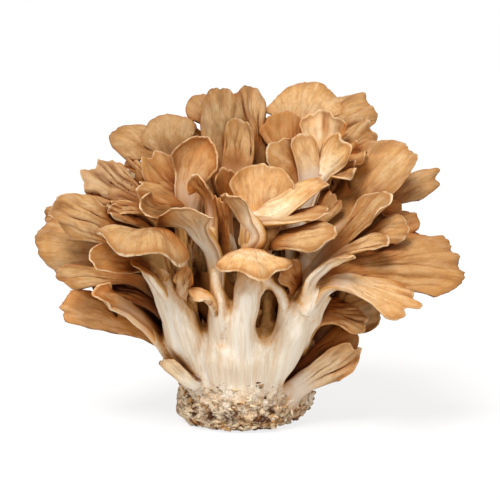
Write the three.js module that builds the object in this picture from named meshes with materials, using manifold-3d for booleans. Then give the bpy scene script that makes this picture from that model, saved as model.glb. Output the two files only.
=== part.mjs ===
// A maitake (hen of the woods): one cluster of fan-shaped caps on stalks that branch from a
// common butt, which stands on the plug of growing substrate it was pulled away with.
// Millimetres, +Z up. The origin is the middle of the flat underside, and the side with the
// most open caps looks along -Y.
import * as THREE from 'three';
import Module from 'manifold-3d';

const wasm = await Module();
wasm.setup();

// Driving dimensions.
const CLEARANCE = 0.3; // kept between neighbouring pieces
const CAP_THICKNESS = 2; // flesh between a cap's brown face and its pores
const MARGIN_THINNING = 0.35; // the margin's thickness as a share of the cap's
const NECK_SHARE = 0.52; // the neck's width as a share of the cap's, where no stem is given
const SUBSTRATE_HEIGHT = 7;
const KNOBS = { count: 3, depth: 0.04, turn: 0.1 }; // swellings round the butt, turning as it rises
const MARGIN_ROUNDNESS = 2.6; // the power that rounds a cap's outline towards its sides
const STEM_RISE = 0.4; // how much more steeply than its neck lies a stem leaves its stalk
const FLESH_SETTLED = 0.45; // the share of a cap's length at which its stem has become flat flesh
const CUP_SETTLED = 0.5; // and the share at which its sides have risen
const THINNING_FROM = 0.6; // and the share from which its flesh thins towards the margin
const BUTT_SIDES = 18;
const STALK_SIDES = 10;
const STALK_STATIONS = 6;

// The butt and the plug of substrate under it as stacks of ovals: each one's height, half its
// width, half its depth, and the place of its middle along X and Y.
const BUTT_RINGS = [
  [SUBSTRATE_HEIGHT + CLEARANCE, 27.2, 21.5, -0.5, -2], [12, 28, 22, 0, -2], [16.5, 25.5, 21, -1, -3],
  [22, 20.5, 18.5, -2.5, -5], [29, 19.5, 17.5, -1.5, -8], [38, 16, 15, 0, -12], [47, 9, 10, 0, -14],
];
const SUBSTRATE_RINGS = [
  [0, 20, 17, -2.8, -2], [3, 24.5, 20.5, -1.6, -2], [SUBSTRATE_HEIGHT, 27, 21.5, -0.5, -2],
];

// Each stalk's way up from the butt: x, y, z, half its width and half its depth. The fronds give
// way to the bare front stalks, and the rear stalks to the stems that grow from them.
const FRONT_STALKS = {
  stalk_centre: [
    [1, -12, 8, 12, 10], [0, -24, 28, 9, 8], [0.5, -33, 48, 5.2, 6],
    [1.5, -37, 62, 5.2, 5], [4, -35, 76, 5, 4.6],
  ],
  stalk_left: [
    [-11, -12, 8, 10, 9], [-17, -19, 28, 8, 8], [-25, -28, 46, 7.3, 6.5],
    [-34, -34, 62, 6, 5],
  ],
  stalk_right: [
    [8, -10, 8, 10, 9], [11, -20, 24, 6.5, 7], [18, -29, 40, 6.6, 6],
    [23, -34, 54, 6.6, 5],
  ],
  stalk_centre_left: [
    [-6, -12, 12, 9, 8], [-8, -22, 34, 6.4, 6.5], [-9.6, -31, 52, 5.2, 5],
    [-11.5, -35, 66, 3.4, 3.8],
  ],
};
const REAR_STALKS = {
  stalk_crown: [
    [0, 0, 10, 9, 9], [2, 2, 40, 7.5, 7.5], [3, 3, 70, 6.5, 6.5],
    [4, 4, 94, 5, 5],
  ],
  stalk_left_inner: [
    [-12, -4, 10, 8, 8], [-20, -8, 36, 6, 6], [-28, -10, 60, 5.5, 5.5],
    [-30, -9, 80, 5, 5],
  ],
  stalk_right_inner: [
    [12, -2, 10, 8, 8], [20, -5, 36, 6, 6], [27, -6, 62, 5.5, 5.5],
    [28, -5, 84, 5, 5],
  ],
  stalk_back_left: [
    [-8, 8, 8, 9, 9], [-15, 19, 34, 7, 7], [-23, 27, 56, 5.5, 5.5],
    [-25, 29, 64, 4.5, 4.5],
  ],
  stalk_back_right: [
    [10, 8, 8, 9, 9], [17, 19, 34, 7, 7], [25, 27, 56, 5.5, 5.5],
    [27, 29, 64, 4.5, 4.5],
  ],
};

// A cap: where its stem leaves the stalk, where the stem opens into the cap, the middle of the
// margin and the way its brown face looks. Angles are in degrees: spread is how far the outer
// rays turn aside, curl how far the cap bends back from its face between stem and margin, cup
// how far its sides rise towards the face, and twist how far the margin turns about the middle.
// side is how much shorter the outer rays are, skew how much longer one side is, open the share
// of the way at which the rays have turned, and stem its width and thickness at foot and neck.
const cap = (foot, neck, tip, face, shape) => ({
  foot: new THREE.Vector3(...foot),
  neck: new THREE.Vector3(...neck),
  tip: new THREE.Vector3(...tip),
  face: new THREE.Vector3(...face),
  thickness: CAP_THICKNESS,
  spread: 45,
  side: 0.3,
  skew: 0,
  curl: 0,
  cup: 0,
  twist: 0,
  open: 0.5,
  stem: [8, 6, NECK_SHARE * shape.width, 3.5],
  ...shape,
});

// The fronds of the front and the crown, front ones first: a cap or a few that share a stem.
const FRONDS = {
  crown_dome: [
    cap([6, 6, 82], [24, 12, 116], [27, 30, 135], [0, -0.8, 0.6],
      { width: 34, spread: 66, side: 0.3, curl: 45 }),
    cap([10, 6, 82], [31, 16, 120], [51, 27, 129], [-0.3, -0.75, 0.7],
      { width: 14, spread: 36, side: 0.32, curl: 22, stem: [8, 6, 10, 3.5] }),
    cap([12, 4, 80], [33, 12, 115], [53, 20, 124], [-0.3, -0.75, 0.6],
      { width: 12, spread: 34, side: 0.3, curl: 20 }),
  ],
  crown_upright: [
    cap([24, -4, 78], [30, -7, 104], [32, -2, 125], [0.1, 1, 0.25],
      { width: 18, spread: 40, side: 0.12, curl: 30, stem: [8, 6, 11, 3.5] }),
  ],
  crown_side: [
    cap([26, 0, 80], [35, 2, 107], [53, 8, 120], [-0.35, -0.8, 0.5],
      { width: 14, spread: 38, side: 0.28, curl: 15 }),
    cap([24, -6, 78], [31, -8, 103], [50, -6, 111], [-0.2, -0.7, 0.8],
      { width: 10, spread: 34, side: 0.25, cup: 25 }),
    cap([24, -8, 78], [30, -12, 101], [46, -14, 105], [-0.2, -0.6, 0.8],
      { width: 10, spread: 30, side: 0.25, cup: 20 }),
    cap([24, -4, 74], [29, -6, 82], [41, -4, 98], [-0.3, -0.9, 0.2],
      { width: 17, spread: 36, side: 0.25 }),
    cap([24, -6, 70], [26, -12, 79], [36, -12, 94], [-0.3, -0.9, 0.2],
      { width: 12, spread: 30, side: 0.25 }),
  ],
  crown_petals: [
    cap([22, -9, 78], [29, -12, 101], [40, -16, 115], [-0.3, -0.9, 0.3],
      { width: 14.5, spread: 34, side: 0.3, curl: -12, cup: -10, stem: [8, 6, 9.5, 3.5] }),
    cap([22, -9, 78], [22, -11, 101], [11, -11, 114], [0.2, -0.9, 0.35],
      { width: 17, spread: 50, side: 0.34, curl: -15, cup: 16, stem: [8, 6, 11, 3.5] }),
    cap([22, -8, 78], [25, -13, 102], [22, -12, 117], [0.1, -0.9, 0.2],
      { width: 12, spread: 30, side: 0.34, curl: -15, cup: 26, stem: [8, 6, 9.5, 3.5] }),
  ],
  crown_dark_bowl: [
    cap([10, 0, 84], [17, 0, 107], [15, 6, 126], [0, -1, 0.15],
      { width: 20, spread: 56, side: 0.2, curl: -25 }),
  ],
  crown_spoon: [
    cap([0, 1, 84], [-7, -2, 100], [-10, 8, 134], [0.05, -0.95, 0.3],
      { width: 21, spread: 32, side: 0.3, curl: 12, cup: 14 }),
    cap([0, 1, 84], [-3, -6, 102], [-1, -2, 122], [-0.35, -0.9, 0.2],
      { width: 13, spread: 20, side: 0.3, curl: -24, cup: 20, stem: [7, 6, 13, 3] }),
    cap([0, 1, 84], [-11, 12, 117], [-21, 16, 131], [0.05, -0.9, 0.35],
      { width: 13, spread: 50, side: 0.34, curl: 20 }),
    cap([0, 1, 84], [4, 4, 109], [3, 12, 135], [0.1, -1, 0.25],
      { width: 14.5, spread: 26, side: 0.26, curl: 20 }),
  ],
  bowls: [
    cap([-22, -12, 68], [-20, -20, 96], [-15, -18, 117], [0.1, -1, 0.28],
      { width: 20, spread: 60, side: 0.26, skew: 0.05, curl: -36, cup: 24, open: 0.4,
        stem: [8, 6, 11, 3.5] }),
    cap([-24, -12, 68], [-22, -18, 93], [-36, -14, 110], [0.3, -0.9, 0.3],
      { width: 17, spread: 46, side: 0.22, curl: -20, cup: 18 }),
  ],
  small_scroll: [
    cap([-12, -31, 70], [-14, -28, 94], [-18, -32, 103], [-0.3, -0.9, 0.2],
      { width: 9.5, spread: 62, side: 0.12, cup: 60, stem: [5.5, 5, 5, 3.5] }),
  ],
  tongue: [
    cap([-2, -17, 60], [-7, -16, 88], [-6, -20, 104], [0.25, -0.9, 0.25],
      { width: 11, spread: 42, side: 0.26, curl: -20, cup: 34, stem: [6, 5, 5, 3] }),
    cap([-2, -17, 60], [-7, -26, 73], [-10, -30, 93], [-0.5, -0.9, 0],
      { width: 7, spread: 16, side: 0.25, curl: -16, stem: [6, 5, 5, 3] }),
  ],
  left_pleated: [
    cap([-26, -12, 62], [-38, -14, 89], [-62, -10, 103], [0.1, -0.85, 0.45],
      { width: 21, spread: 44, side: 0.16, curl: 10 }),
    cap([-28, -10, 70], [-36, -4, 97], [-46, 0, 108], [-0.2, -0.7, 0.7],
      { width: 7, spread: 26, side: 0.3, curl: 10 }),
  ],
  far_left_large: [
    cap([-24, -8, 48], [-48, -14, 71], [-81, -14, 76], [0, -1, 0.1],
      { width: 27, spread: 52, side: 0.26, curl: 15 }),
    cap([-24, -8, 48], [-54, -6, 79], [-78, -8, 86], [0, -0.9, 0.5],
      { width: 11, spread: 40, side: 0.28, curl: 18 }),
  ],
  far_left_pleated: [
    cap([-26, -14, 52], [-47, -24, 79], [-73, -28, 91], [0.05, -0.9, 0.5],
      { width: 21, spread: 48, side: 0.24, curl: 22 }),
  ],
  front_left_wavy: [
    cap([-32, -31, 60], [-36, -40, 81], [-38, -61, 78], [0, -0.5, 1],
      { width: 34.5, spread: 88, side: 0.1, curl: 70, cup: -14, twist: -14, open: 0.25,
        stem: [10, 8, 13, 5] }),
    cap([-27, -27, 46], [-36, -38, 66], [-41, -44, 71], [0, -0.5, 1],
      { width: 10, spread: 50, side: 0.2, curl: 40, cup: 20, stem: [8, 7, 8, 4] }),
  ],
  left_under_bowl: [
    cap([-28, -24, 50], [-35, -34, 70], [-57, -46, 73], [0.25, -0.85, 0.5],
      { width: 13, spread: 44, side: 0.3, curl: -20, cup: 24 }),
  ],
  lowest_left: [
    cap([-20, -8, 18], [-37, -12, 38], [-71, -14, 52], [-0.1, -0.95, 0.35],
      { width: 16, spread: 22, side: 0.24, curl: 18, stem: [7, 5, 7, 3.5] }),
  ],
  left_scroll: [
    cap([-22, -16, 22], [-49, -28, 53], [-58, -32, 59], [-0.2, -0.6, 0.8],
      { width: 9.5, spread: 58, side: 0.12, cup: 50, stem: [10, 6, 8, 3.5] }),
    cap([-22, -16, 22], [-19, -24, 20], [-30, -28, 31], [-0.7, -0.6, 0.25],
      { width: 9, spread: 26, side: 0.2, skew: 0.1, curl: 25, stem: [7, 5, 7, 3] }),
  ],
  left_stalk_bud: [
    cap([-24, -26, 44], [-25, -34, 59], [-22, -40, 68], [0.1, -0.8, 0.4],
      { width: 8, spread: 60, side: 0.3, cup: 20, stem: [6, 5, 5, 3] }),
  ],
  centre_small_cap: [
    cap([-10, -26, 40], [-13, -36, 55], [-22, -42, 60], [-0.1, -0.6, 1],
      { width: 9, spread: 40, side: 0.25, curl: 30, stem: [7, 5, 7, 4] }),
  ],
  centre_left_funnel: [
    cap([-10.5, -31, 52], [-13, -38, 76], [-25, -50, 93], [0.35, 0.8, 0.5],
      { width: 27, spread: 62, side: 0.06, skew: -0.06, curl: 20, open: 0.6, stem: [6, 6, 9, 5.5] }),
  ],
  centre_front: [
    cap([2, -36, 58], [4, -40, 74], [5, -58, 68], [0, -0.7, 1],
      { width: 29, spread: 86, side: 0.16, curl: 36, cup: -16, open: 0.25, stem: [9, 7, 12, 5] }),
  ],
  centre_funnel: [
    cap([3, -35, 74], [7, -36, 85], [8, -24, 106], [0, -0.9, 0.4],
      { width: 24, spread: 58, side: 0.2, curl: -24, cup: 22, stem: [9, 8, 15, 5] }),
    cap([3, -35, 74], [8, -37, 87], [31, -32, 102], [-0.25, -0.75, 0.75],
      { width: 11, spread: 24, side: 0.25, cup: 30, stem: [8.6, 7.4, 9.6, 4.6] }),
    cap([3, -35, 74], [7, -38, 86], [33, -40, 91], [-0.1, -0.3, 1],
      { width: 11, spread: 30, side: 0.25, curl: 8, stem: [9, 8, 8, 5] }),
    cap([3, -35, 74], [5, -39, 84], [-6, -42, 97], [0.45, 0.4, 0.7],
      { width: 14, spread: 34, side: 0.15, curl: 12, stem: [9, 8, 12, 6] }),
  ],
  centre_right_cap: [
    cap([6, -30, 60], [11, -36, 79], [34, -50, 83], [-0.15, -0.75, 0.65],
      { width: 14, spread: 42, side: 0.25, curl: 25, stem: [8, 6, 8, 3.5] }),
  ],
  right_stalk_left_cap: [
    cap([17, -28, 54], [19, -33, 61], [15, -40, 71], [0.1, -0.75, 0.6],
      { width: 13, spread: 50, side: 0.25, curl: 20, stem: [7, 5, 8, 3.5] }),
  ],
  right_ribbon: [
    cap([23, -31, 52], [28, -41, 67], [42, -46, 74], [-0.3, 0.5, 0.85],
      { width: 7, spread: 24, side: 0.3, curl: 25, stem: [7, 6, 5, 3.5] }),
  ],
  right_fan: [
    cap([23, -31, 50], [36, -32, 65], [84, -22, 70], [0, -0.8, 0.6],
      { width: 35.5, spread: 40, side: 0.16, skew: 0, curl: 12, stem: [11, 9, 10, 5] }),
    cap([23, -32, 50], [39, -36, 63], [65, -44, 53], [0.1, -0.55, 0.85],
      { width: 22, spread: 42, side: 0.14, skew: -0.04, curl: 18, stem: [11, 9, 10, 5] }),
  ],
  right_inner_petal: [
    cap([16, -10, 20], [24, -14, 27], [46, -12, 39], [0.1, -0.85, 0.5],
      { width: 14, spread: 28, side: 0.25, curl: 12 }),
  ],
  right_low_leaf: [
    cap([14, -10, 6], [21, -16, 17], [46, -20, 34], [-0.3, 0.9, 0.35],
      { width: 15.5, spread: 34, side: 0.24, curl: 20, stem: [12, 8, 12, 4] }),
  ],
  right_tall_spoon: [
    cap([25, -6, 56], [37, -8, 85], [65, -4, 112], [-0.4, -0.8, 0.45],
      { width: 29, spread: 50, side: 0.3, curl: -12, cup: 26, stem: [9, 8, 19, 4] }),
    cap([26, -10, 58], [36, -20, 74], [55, -26, 95], [-0.5, -0.65, 0.6],
      { width: 15, spread: 30, side: 0.22, cup: 12 }),
  ],
  right_back_lobe: [
    cap([28, 2, 64], [57, 6, 89], [79, 8, 99], [0, -0.85, 0.55],
      { width: 14, spread: 44, side: 0.3, curl: 18 }),
    cap([28, 2, 62], [52, 2, 85], [64, 2, 88], [0, -0.8, 0.6],
      { width: 8, spread: 34, side: 0.28, curl: 15 }),
  ],
  right_shelf: [
    cap([26, -12, 54], [40, -22, 73], [65, -26, 83], [-0.15, -0.75, 0.65],
      { width: 14, spread: 36, side: 0.24, curl: 22 }),
    cap([26, -12, 54], [48, -10, 77], [71, -10, 84], [-0.1, -0.8, 0.6],
      { width: 13, spread: 36, side: 0.25, curl: 16 }),
    cap([26, -12, 54], [37, -30, 72], [56, -36, 78], [-0.1, -0.65, 0.8],
      { width: 9, spread: 32, side: 0.25, curl: 22 }),
  ],
  upper_left: [
    cap([-26, -4, 76], [-30, 2, 108], [-53, 8, 117], [-0.15, -0.75, 0.7],
      { width: 20, spread: 62, side: 0.36, curl: 28 }),
    cap([-24, -4, 78], [-27, 0, 106], [-32, 8, 125], [0, -0.85, 0.5],
      { width: 23, spread: 62, side: 0.3, curl: 30 }),
  ],
  left_mid: [
    cap([-24, -18, 60], [-23, -20, 90], [-40, -26, 98], [0.2, -0.7, 0.7],
      { width: 13, spread: 40, side: 0.22, curl: 25 }),
    cap([-24, -22, 60], [-29, -28, 88], [-39, -36, 91], [0.4, -0.7, 0.55],
      { width: 11.5, spread: 56, side: 0.2, curl: -30, cup: 30 }),
    cap([-24, -20, 58], [-37, -22, 87], [-53, -24, 91], [0, -0.6, 0.8],
      { width: 9, spread: 32, side: 0.25, curl: 20 }),
    cap([-24, -20, 50], [-36, -22, 81], [-52, -26, 90], [0.4, -0.7, 0.6],
      { width: 6, spread: 20, side: 0.3, curl: 20 }),
  ],
  left_low: [
    cap([-24, -14, 40], [-44, -24, 61], [-71, -28, 66], [0, -0.7, 0.7],
      { width: 12, spread: 32, side: 0.28, curl: 12 }),
    cap([-22, -14, 34], [-36, -22, 52], [-58, -22, 63], [0.3, -0.7, 0.7],
      { width: 17, spread: 40, side: 0.2 }),
  ],
  right_recess: [
    cap([21, -12, 32], [34, -26, 47], [49, -24, 45], [-0.1, -0.8, 0.5],
      { width: 15, spread: 46, side: 0.25, curl: 24 }),
    cap([21, -12, 32], [33, -10, 50], [55, -8, 47], [0, -0.8, 0.5],
      { width: 15, spread: 44, side: 0.25 }),
  ],
  inner_left: [
    cap([-20, -4, 60], [-24, -4, 81], [-28, 2, 111], [0.1, -1, 0.3],
      { width: 34, spread: 50, side: 0.25 }),
    cap([-20, -4, 56], [-30, -6, 71], [-62, 0, 87], [0.1, -1, 0.3],
      { width: 42, spread: 46, side: 0.2 }),
    cap([-20, -6, 40], [-31, -6, 50], [-58, -4, 65], [0.1, -1, 0.3],
      { width: 34, spread: 44, side: 0.2 }),
    cap([-10, -6, 26], [-21, -8, 28], [-33, -8, 56], [0.1, -1, 0.2],
      { width: 30, spread: 36, side: 0.2 }),
  ],
  inner_centre: [
    cap([4, -6, 26], [-1, -8, 30], [-3, -10, 68], [0, -1, 0.2],
      { width: 42, spread: 36, side: 0.2 }),
    cap([3, 2, 60], [-3, -2, 65], [-7, 2, 110], [0.1, -1, 0.25],
      { width: 44, spread: 44, side: 0.22 }),
    cap([3, 2, 70], [8, 0, 78], [15, 8, 117], [0, -1, 0.25],
      { width: 40, spread: 44, side: 0.22 }),
  ],
  inner_right: [
    cap([10, -6, 26], [17, -6, 29], [31, -6, 57], [0, -1, 0.2],
      { width: 34, spread: 36, side: 0.2 }),
    cap([20, -2, 60], [25, 0, 71], [37, 4, 105], [0, -1, 0.3],
      { width: 40, spread: 48, side: 0.22 }),
    cap([20, -2, 50], [26, -4, 61], [63, 0, 79], [0, -1, 0.3],
      { width: 42, spread: 42, side: 0.2 }),
  ],
};

// The fronds of the sides and the back: which way each looks, in degrees from +X towards +Y,
// where its stem starts, how far out and how high it opens, how long and how wide its caps are.
const ROSETTES = {
  side_low_right: { azimuth: 4, foot: [16, 20, 38], radius: 34, height: 46, reach: 28, width: 28 },
  back_low_right: { azimuth: 42, foot: [16, 20, 38], radius: 36, height: 46, reach: 32, width: 32 },
  back_low: { azimuth: 90, foot: [2, 16, 34], radius: 34, height: 42, reach: 34, width: 36 },
  back_low_left: { azimuth: 138, foot: [-14, 20, 38], radius: 36, height: 46, reach: 32, width: 32 },
  side_low_left: { azimuth: 176, foot: [-14, 20, 38], radius: 36, height: 48, reach: 28, width: 28 },
  side_high_right: { azimuth: 12, foot: [26, 28, 66], radius: 42, height: 74, reach: 28, width: 30 },
  back_high_right: { azimuth: 55, foot: [26, 28, 66], radius: 40, height: 78, reach: 34, width: 36 },
  back_high: { azimuth: 90, foot: [4, 14, 70], radius: 30, height: 88, reach: 34, width: 34 },
  back_high_left: { azimuth: 125, foot: [-24, 28, 66], radius: 40, height: 76, reach: 34, width: 36 },
  side_high_left: { azimuth: 168, foot: [-24, 28, 66], radius: 42, height: 72, reach: 28, width: 30 },
};
// A rosette's three caps: one to each side of its way out, and one standing up behind them.
// along, out and up set the way a cap grows; back and lift move its neck.
const ROSETTE_CAPS = [
  { along: 0.7, out: 0.5, up: 0.6, size: 1, aside: 4, back: 0, lift: 0 },
  { along: -0.7, out: 0.65, up: 0.45, size: 0.9, aside: -4, back: 0, lift: -4 },
  { along: 0.08, out: 0.12, up: 1.1, size: 0.95, aside: 0, back: 10, lift: 8 },
];

const COLOURS = {
  cap: { color: 0xc99a66, roughness: 0.62 },
  flesh: { color: 0xe6d8c3, roughness: 0.7 },
  substrate: { color: 0x6b4a30, roughness: 0.95 },
};

const radians = THREE.MathUtils.degToRad;
const smoothstep = THREE.MathUtils.smoothstep;

/** A closed solid through loops that all have the same even number of points. */
function loft(loops) {
  const count = loops[0].length;
  const index = [];
  const triangle = (a, b, c) => {
    if (a !== b && b !== c && c !== a) index.push(a, b, c);
  };
  const quad = (a, b, c, d) => {
    triangle(a, b, c);
    triangle(a, c, d);
  };
  for (let row = 0; row < loops.length - 1; row += 1) {
    const start = row * count;
    for (let j = 0; j < count; j += 1) {
      const next = (j + 1) % count;
      quad(start + j, start + next, start + count + next, start + count + j);
    }
  }
  // Each end is closed straight across, from one half of its loop to the other.
  const across = (start, order) => {
    for (let j = 0; j < count / 2; j += 1) {
      const strip = [j, j + 1, (count - j - 1) % count, (count - j) % count].map((k) => start + k);
      quad(...order(strip));
    }
  };
  across(0, (strip) => strip.reverse());
  across((loops.length - 1) * count, (strip) => strip);
  const points = loops.flat().flatMap((p) => p.toArray());
  return solid(points, index);
}

/** A manifold solid from points and triangles, turned so that its faces look out. */
function solid(points, index) {
  const corner = (k) => new THREE.Vector3().fromArray(points, 3 * k);
  let volume = 0;
  for (let k = 0; k < index.length; k += 3) {
    volume += corner(index[k]).dot(corner(index[k + 1]).cross(corner(index[k + 2])));
  }
  const outward = volume < 0 ? [...index].reverse() : index;
  return new wasm.Manifold(new wasm.Mesh({
    numProp: 3,
    vertProperties: new Float32Array(points),
    triVerts: new Uint32Array(outward),
  }));
}

/** The body of a solid that holds the most material. */
function largest(whole) {
  const bodies = whole.decompose();
  return bodies.reduce((best, body) => (body.volume() > best.volume() ? body : best));
}

/** The base's solid through its rings, grown by a clearance. */
function baseSolid(rings, grow) {
  const loops = rings.map(([height, halfWidth, halfDepth, x, y]) => {
    const loop = [];
    for (let j = 0; j < BUTT_SIDES; j += 1) {
      const angle = (2 * Math.PI * j) / BUTT_SIDES;
      const knobbly = 1 + KNOBS.depth * Math.sin(KNOBS.count * angle + KNOBS.turn * height);
      const across = (halfWidth * knobbly + grow) * Math.cos(angle);
      const through = (halfDepth * knobbly + grow) * Math.sin(angle);
      loop.push(new THREE.Vector3(x + across, y + through, height));
    }
    return loop;
  });
  loops[0].forEach((p) => p.setZ(p.z - grow));
  loops.at(-1).forEach((p) => p.setZ(p.z + grow));
  return loft(loops);
}

/** A stalk's solid: an oval tube along its way up, grown by a clearance. */
function stalkSolid(way, grow) {
  const centres = way.map(([x, y, z]) => new THREE.Vector3(x, y, z));
  const halves = way.map(([, , , width, depth]) => new THREE.Vector3(width, depth, 0));
  const line = new THREE.CatmullRomCurve3(centres, false, 'catmullrom');
  const size = new THREE.CatmullRomCurve3(halves, false, 'catmullrom');
  const loops = [];
  for (let station = 0; station < STALK_STATIONS; station += 1) {
    const u = station / (STALK_STATIONS - 1);
    const heading = line.getTangent(u);
    const wide = new THREE.Vector3(1, 0, 0).projectOnPlane(heading).normalize();
    const deep = new THREE.Vector3().crossVectors(heading, wide);
    const half = size.getPoint(u);
    const centre = line.getPoint(u);
    if (station === STALK_STATIONS - 1) centre.addScaledVector(heading, grow);
    const loop = [];
    for (let j = 0; j < STALK_SIDES; j += 1) {
      const angle = (2 * Math.PI * j) / STALK_SIDES;
      loop.push(centre.clone()
        .addScaledVector(wide, (half.x + grow) * Math.cos(angle))
        .addScaledVector(deep, (half.y + grow) * Math.sin(angle)));
    }
    loops.push(loop);
  }
  return loft(loops);
}

/** A cap's own directions: ahead along its middle ray, aside to its right, and up off its face. */
function capFrame(shape) {
  const chord = shape.tip.clone().sub(shape.neck);
  const ahead = chord.clone().normalize();
  const up = shape.face.clone().projectOnPlane(ahead).normalize();
  const aside = new THREE.Vector3().crossVectors(up, ahead);
  const bend = radians(shape.curl);
  const reach = bend === 0 ? chord.length() : (chord.length() * bend) / 2 / Math.sin(bend / 2);
  return { ahead, up, aside, bend, reach };
}

/** The middle of a cap's flesh: one row of points for each station, one point for each ray. */
function capSheet(shape, stations, rays) {
  const STEPS = 24;
  const { ahead, up, aside, bend, reach } = capFrame(shape);
  const rows = stations.map(() => []);
  let widest = 0;
  rays.forEach((t) => {
    const turned = radians(shape.spread) * t;
    const shorter = shape.side * (1 - Math.sqrt(1 - Math.abs(t) ** MARGIN_ROUNDNESS));
    const step = (reach * (1 - shorter + shape.skew * t)) / STEPS;
    const at = { along: 0, across: 0, rise: 0 };
    const track = [{ ...at }];
    for (let k = 0; k < STEPS; k += 1) {
      const share = (k + 0.5) / STEPS;
      const heading = turned * smoothstep(share, 0, shape.open);
      const cupped = radians(shape.cup) * Math.sin(turned) ** 2 * smoothstep(share, 0, CUP_SETTLED);
      const slope = bend / 2 - bend * share + cupped;
      at.along += step * Math.cos(heading) * Math.cos(slope);
      at.across += step * Math.sin(heading) * Math.cos(slope);
      at.rise += step * Math.sin(slope);
      track.push({ ...at });
    }
    widest = Math.max(widest, ...track.map((p) => Math.abs(p.across)));
    stations.forEach((station, row) => rows[row].push({ ...track[Math.round(station * STEPS)], t }));
  });
  const neckWidth = shape.stem[2];
  const widen = (shape.width - neckWidth) / 2 / widest;
  return rows.map((row, k) => row.map((p) => {
    const across = p.across * widen + (p.t * neckWidth) / 2;
    const twisted = across * Math.sin(radians(shape.twist) * smoothstep(stations[k], 0, 1));
    return shape.neck.clone()
      .addScaledVector(ahead, p.along)
      .addScaledVector(aside, across)
      .addScaledVector(up, p.rise + twisted);
  }));
}

/** Unit normals of a sheet of points, from the differences between neighbours. */
function sheetNormals(rows) {
  const between = (a, b) => b.clone().sub(a);
  return rows.map((row, k) => row.map((_, j) => {
    const lengthwise = between(rows[Math.max(k - 1, 0)][j], rows[Math.min(k + 1, rows.length - 1)][j]);
    const crosswise = between(row[Math.max(j - 1, 0)], row[Math.min(j + 1, row.length - 1)]);
    return lengthwise.cross(crosswise).normalize();
  }));
}

/** A loop round a row of the sheet: over its face, and back under it. */
function wrap(middle, offset) {
  const over = middle.map((p, j) => p.clone().add(offset[j]));
  const under = middle.map((p, j) => p.clone().sub(offset[j]));
  return [...over, ...under.slice(1, -1).reverse()];
}

/** The loops of a cap's stem, from its foot to just before its neck. */
function stemLoops(shape, rays) {
  const LONG = 25; // a stem longer than this gets a loop half way
  const stations = shape.neck.distanceTo(shape.foot) > LONG ? [0, 0.5] : [0];
  const { ahead, up, aside, bend } = capFrame(shape);
  const [footWidth, footThickness, neckWidth, neckThickness] = shape.stem;
  const arrive = ahead.clone().multiplyScalar(Math.cos(bend / 2)).addScaledVector(up, Math.sin(bend / 2));
  const third = shape.neck.distanceTo(shape.foot) / 3;
  const towards = shape.neck.clone().sub(shape.foot).normalize();
  const leave = towards.add(new THREE.Vector3(0, 0, STEM_RISE)).normalize();
  const line = new THREE.CubicBezierCurve3(
    shape.foot,
    shape.foot.clone().addScaledVector(leave, third),
    shape.neck.clone().addScaledVector(arrive, -third),
    shape.neck,
  );
  return stations.map((s) => {
    const heading = line.getTangent(s);
    const wide = aside.clone().projectOnPlane(heading).normalize();
    const deep = new THREE.Vector3().crossVectors(heading, wide);
    const halfWidth = THREE.MathUtils.lerp(footWidth, neckWidth, s) / 2;
    const halfDepth = THREE.MathUtils.lerp(footThickness, neckThickness, s) / 2;
    const centre = line.getPoint(s);
    const middle = rays.map((t) => centre.clone().addScaledVector(wide, halfWidth * t));
    const offset = rays.map((t) => deep.clone().multiplyScalar(halfDepth * Math.sqrt(1 - t * t)));
    return wrap(middle, offset);
  });
}

/** A cap and its stem as one solid. */
function capSolid(shape) {
  const BROAD = 34; // a cap wider than this gets more rays
  const BENT = 40; // and one that curls more than this gets more stations
  const columns = shape.width > BROAD ? 6 : 4;
  const rays = Array.from({ length: columns + 1 }, (_, j) => {
    const u = (2 * j) / columns - 1;
    return 0.5 * u + 0.5 * Math.sin((Math.PI * u) / 2);
  });
  const stations = Math.abs(shape.curl) > BENT ? [0, 0.375, 0.75, 1] : [0, 0.5, 1];
  const sheet = capSheet(shape, stations, rays);
  const normals = sheetNormals(sheet);
  const neckHalf = shape.stem[3] / 2;
  const capHalf = shape.thickness / 2;
  const loops = stations.map((station, row) => {
    const flat = smoothstep(station, 0, FLESH_SETTLED);
    const squareness = THREE.MathUtils.lerp(2, 8, flat); // from an oval section to a sheet's
    const thinned = 1 - (1 - MARGIN_THINNING) * smoothstep(station, THINNING_FROM, 1);
    const half = THREE.MathUtils.lerp(neckHalf, capHalf, flat) * thinned;
    const offset = rays.map((t, j) => normals[row][j].clone()
      .multiplyScalar(half * Math.sqrt(1 - Math.abs(t) ** squareness)));
    return wrap(sheet[row], offset);
  });
  return loft([...stemLoops(shape, rays), ...loops]);
}

/** The same cap, larger all round by a clearance. */
function grownCap(shape, grow) {
  if (grow === 0) return shape;
  const { ahead } = capFrame(shape);
  const backward = shape.foot.clone().sub(shape.neck).normalize();
  return {
    ...shape,
    foot: shape.foot.clone().addScaledVector(backward, grow),
    tip: shape.tip.clone().addScaledVector(ahead, grow),
    width: shape.width + 2 * grow,
    thickness: shape.thickness + 2 * grow,
    stem: shape.stem.map((size) => size + 2 * grow),
  };
}

function frondSolid(caps, grow) {
  const solids = caps.map((shape) => capSolid(grownCap(shape, grow)));
  return solids.reduce((whole, one) => whole.add(one));
}

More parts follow.
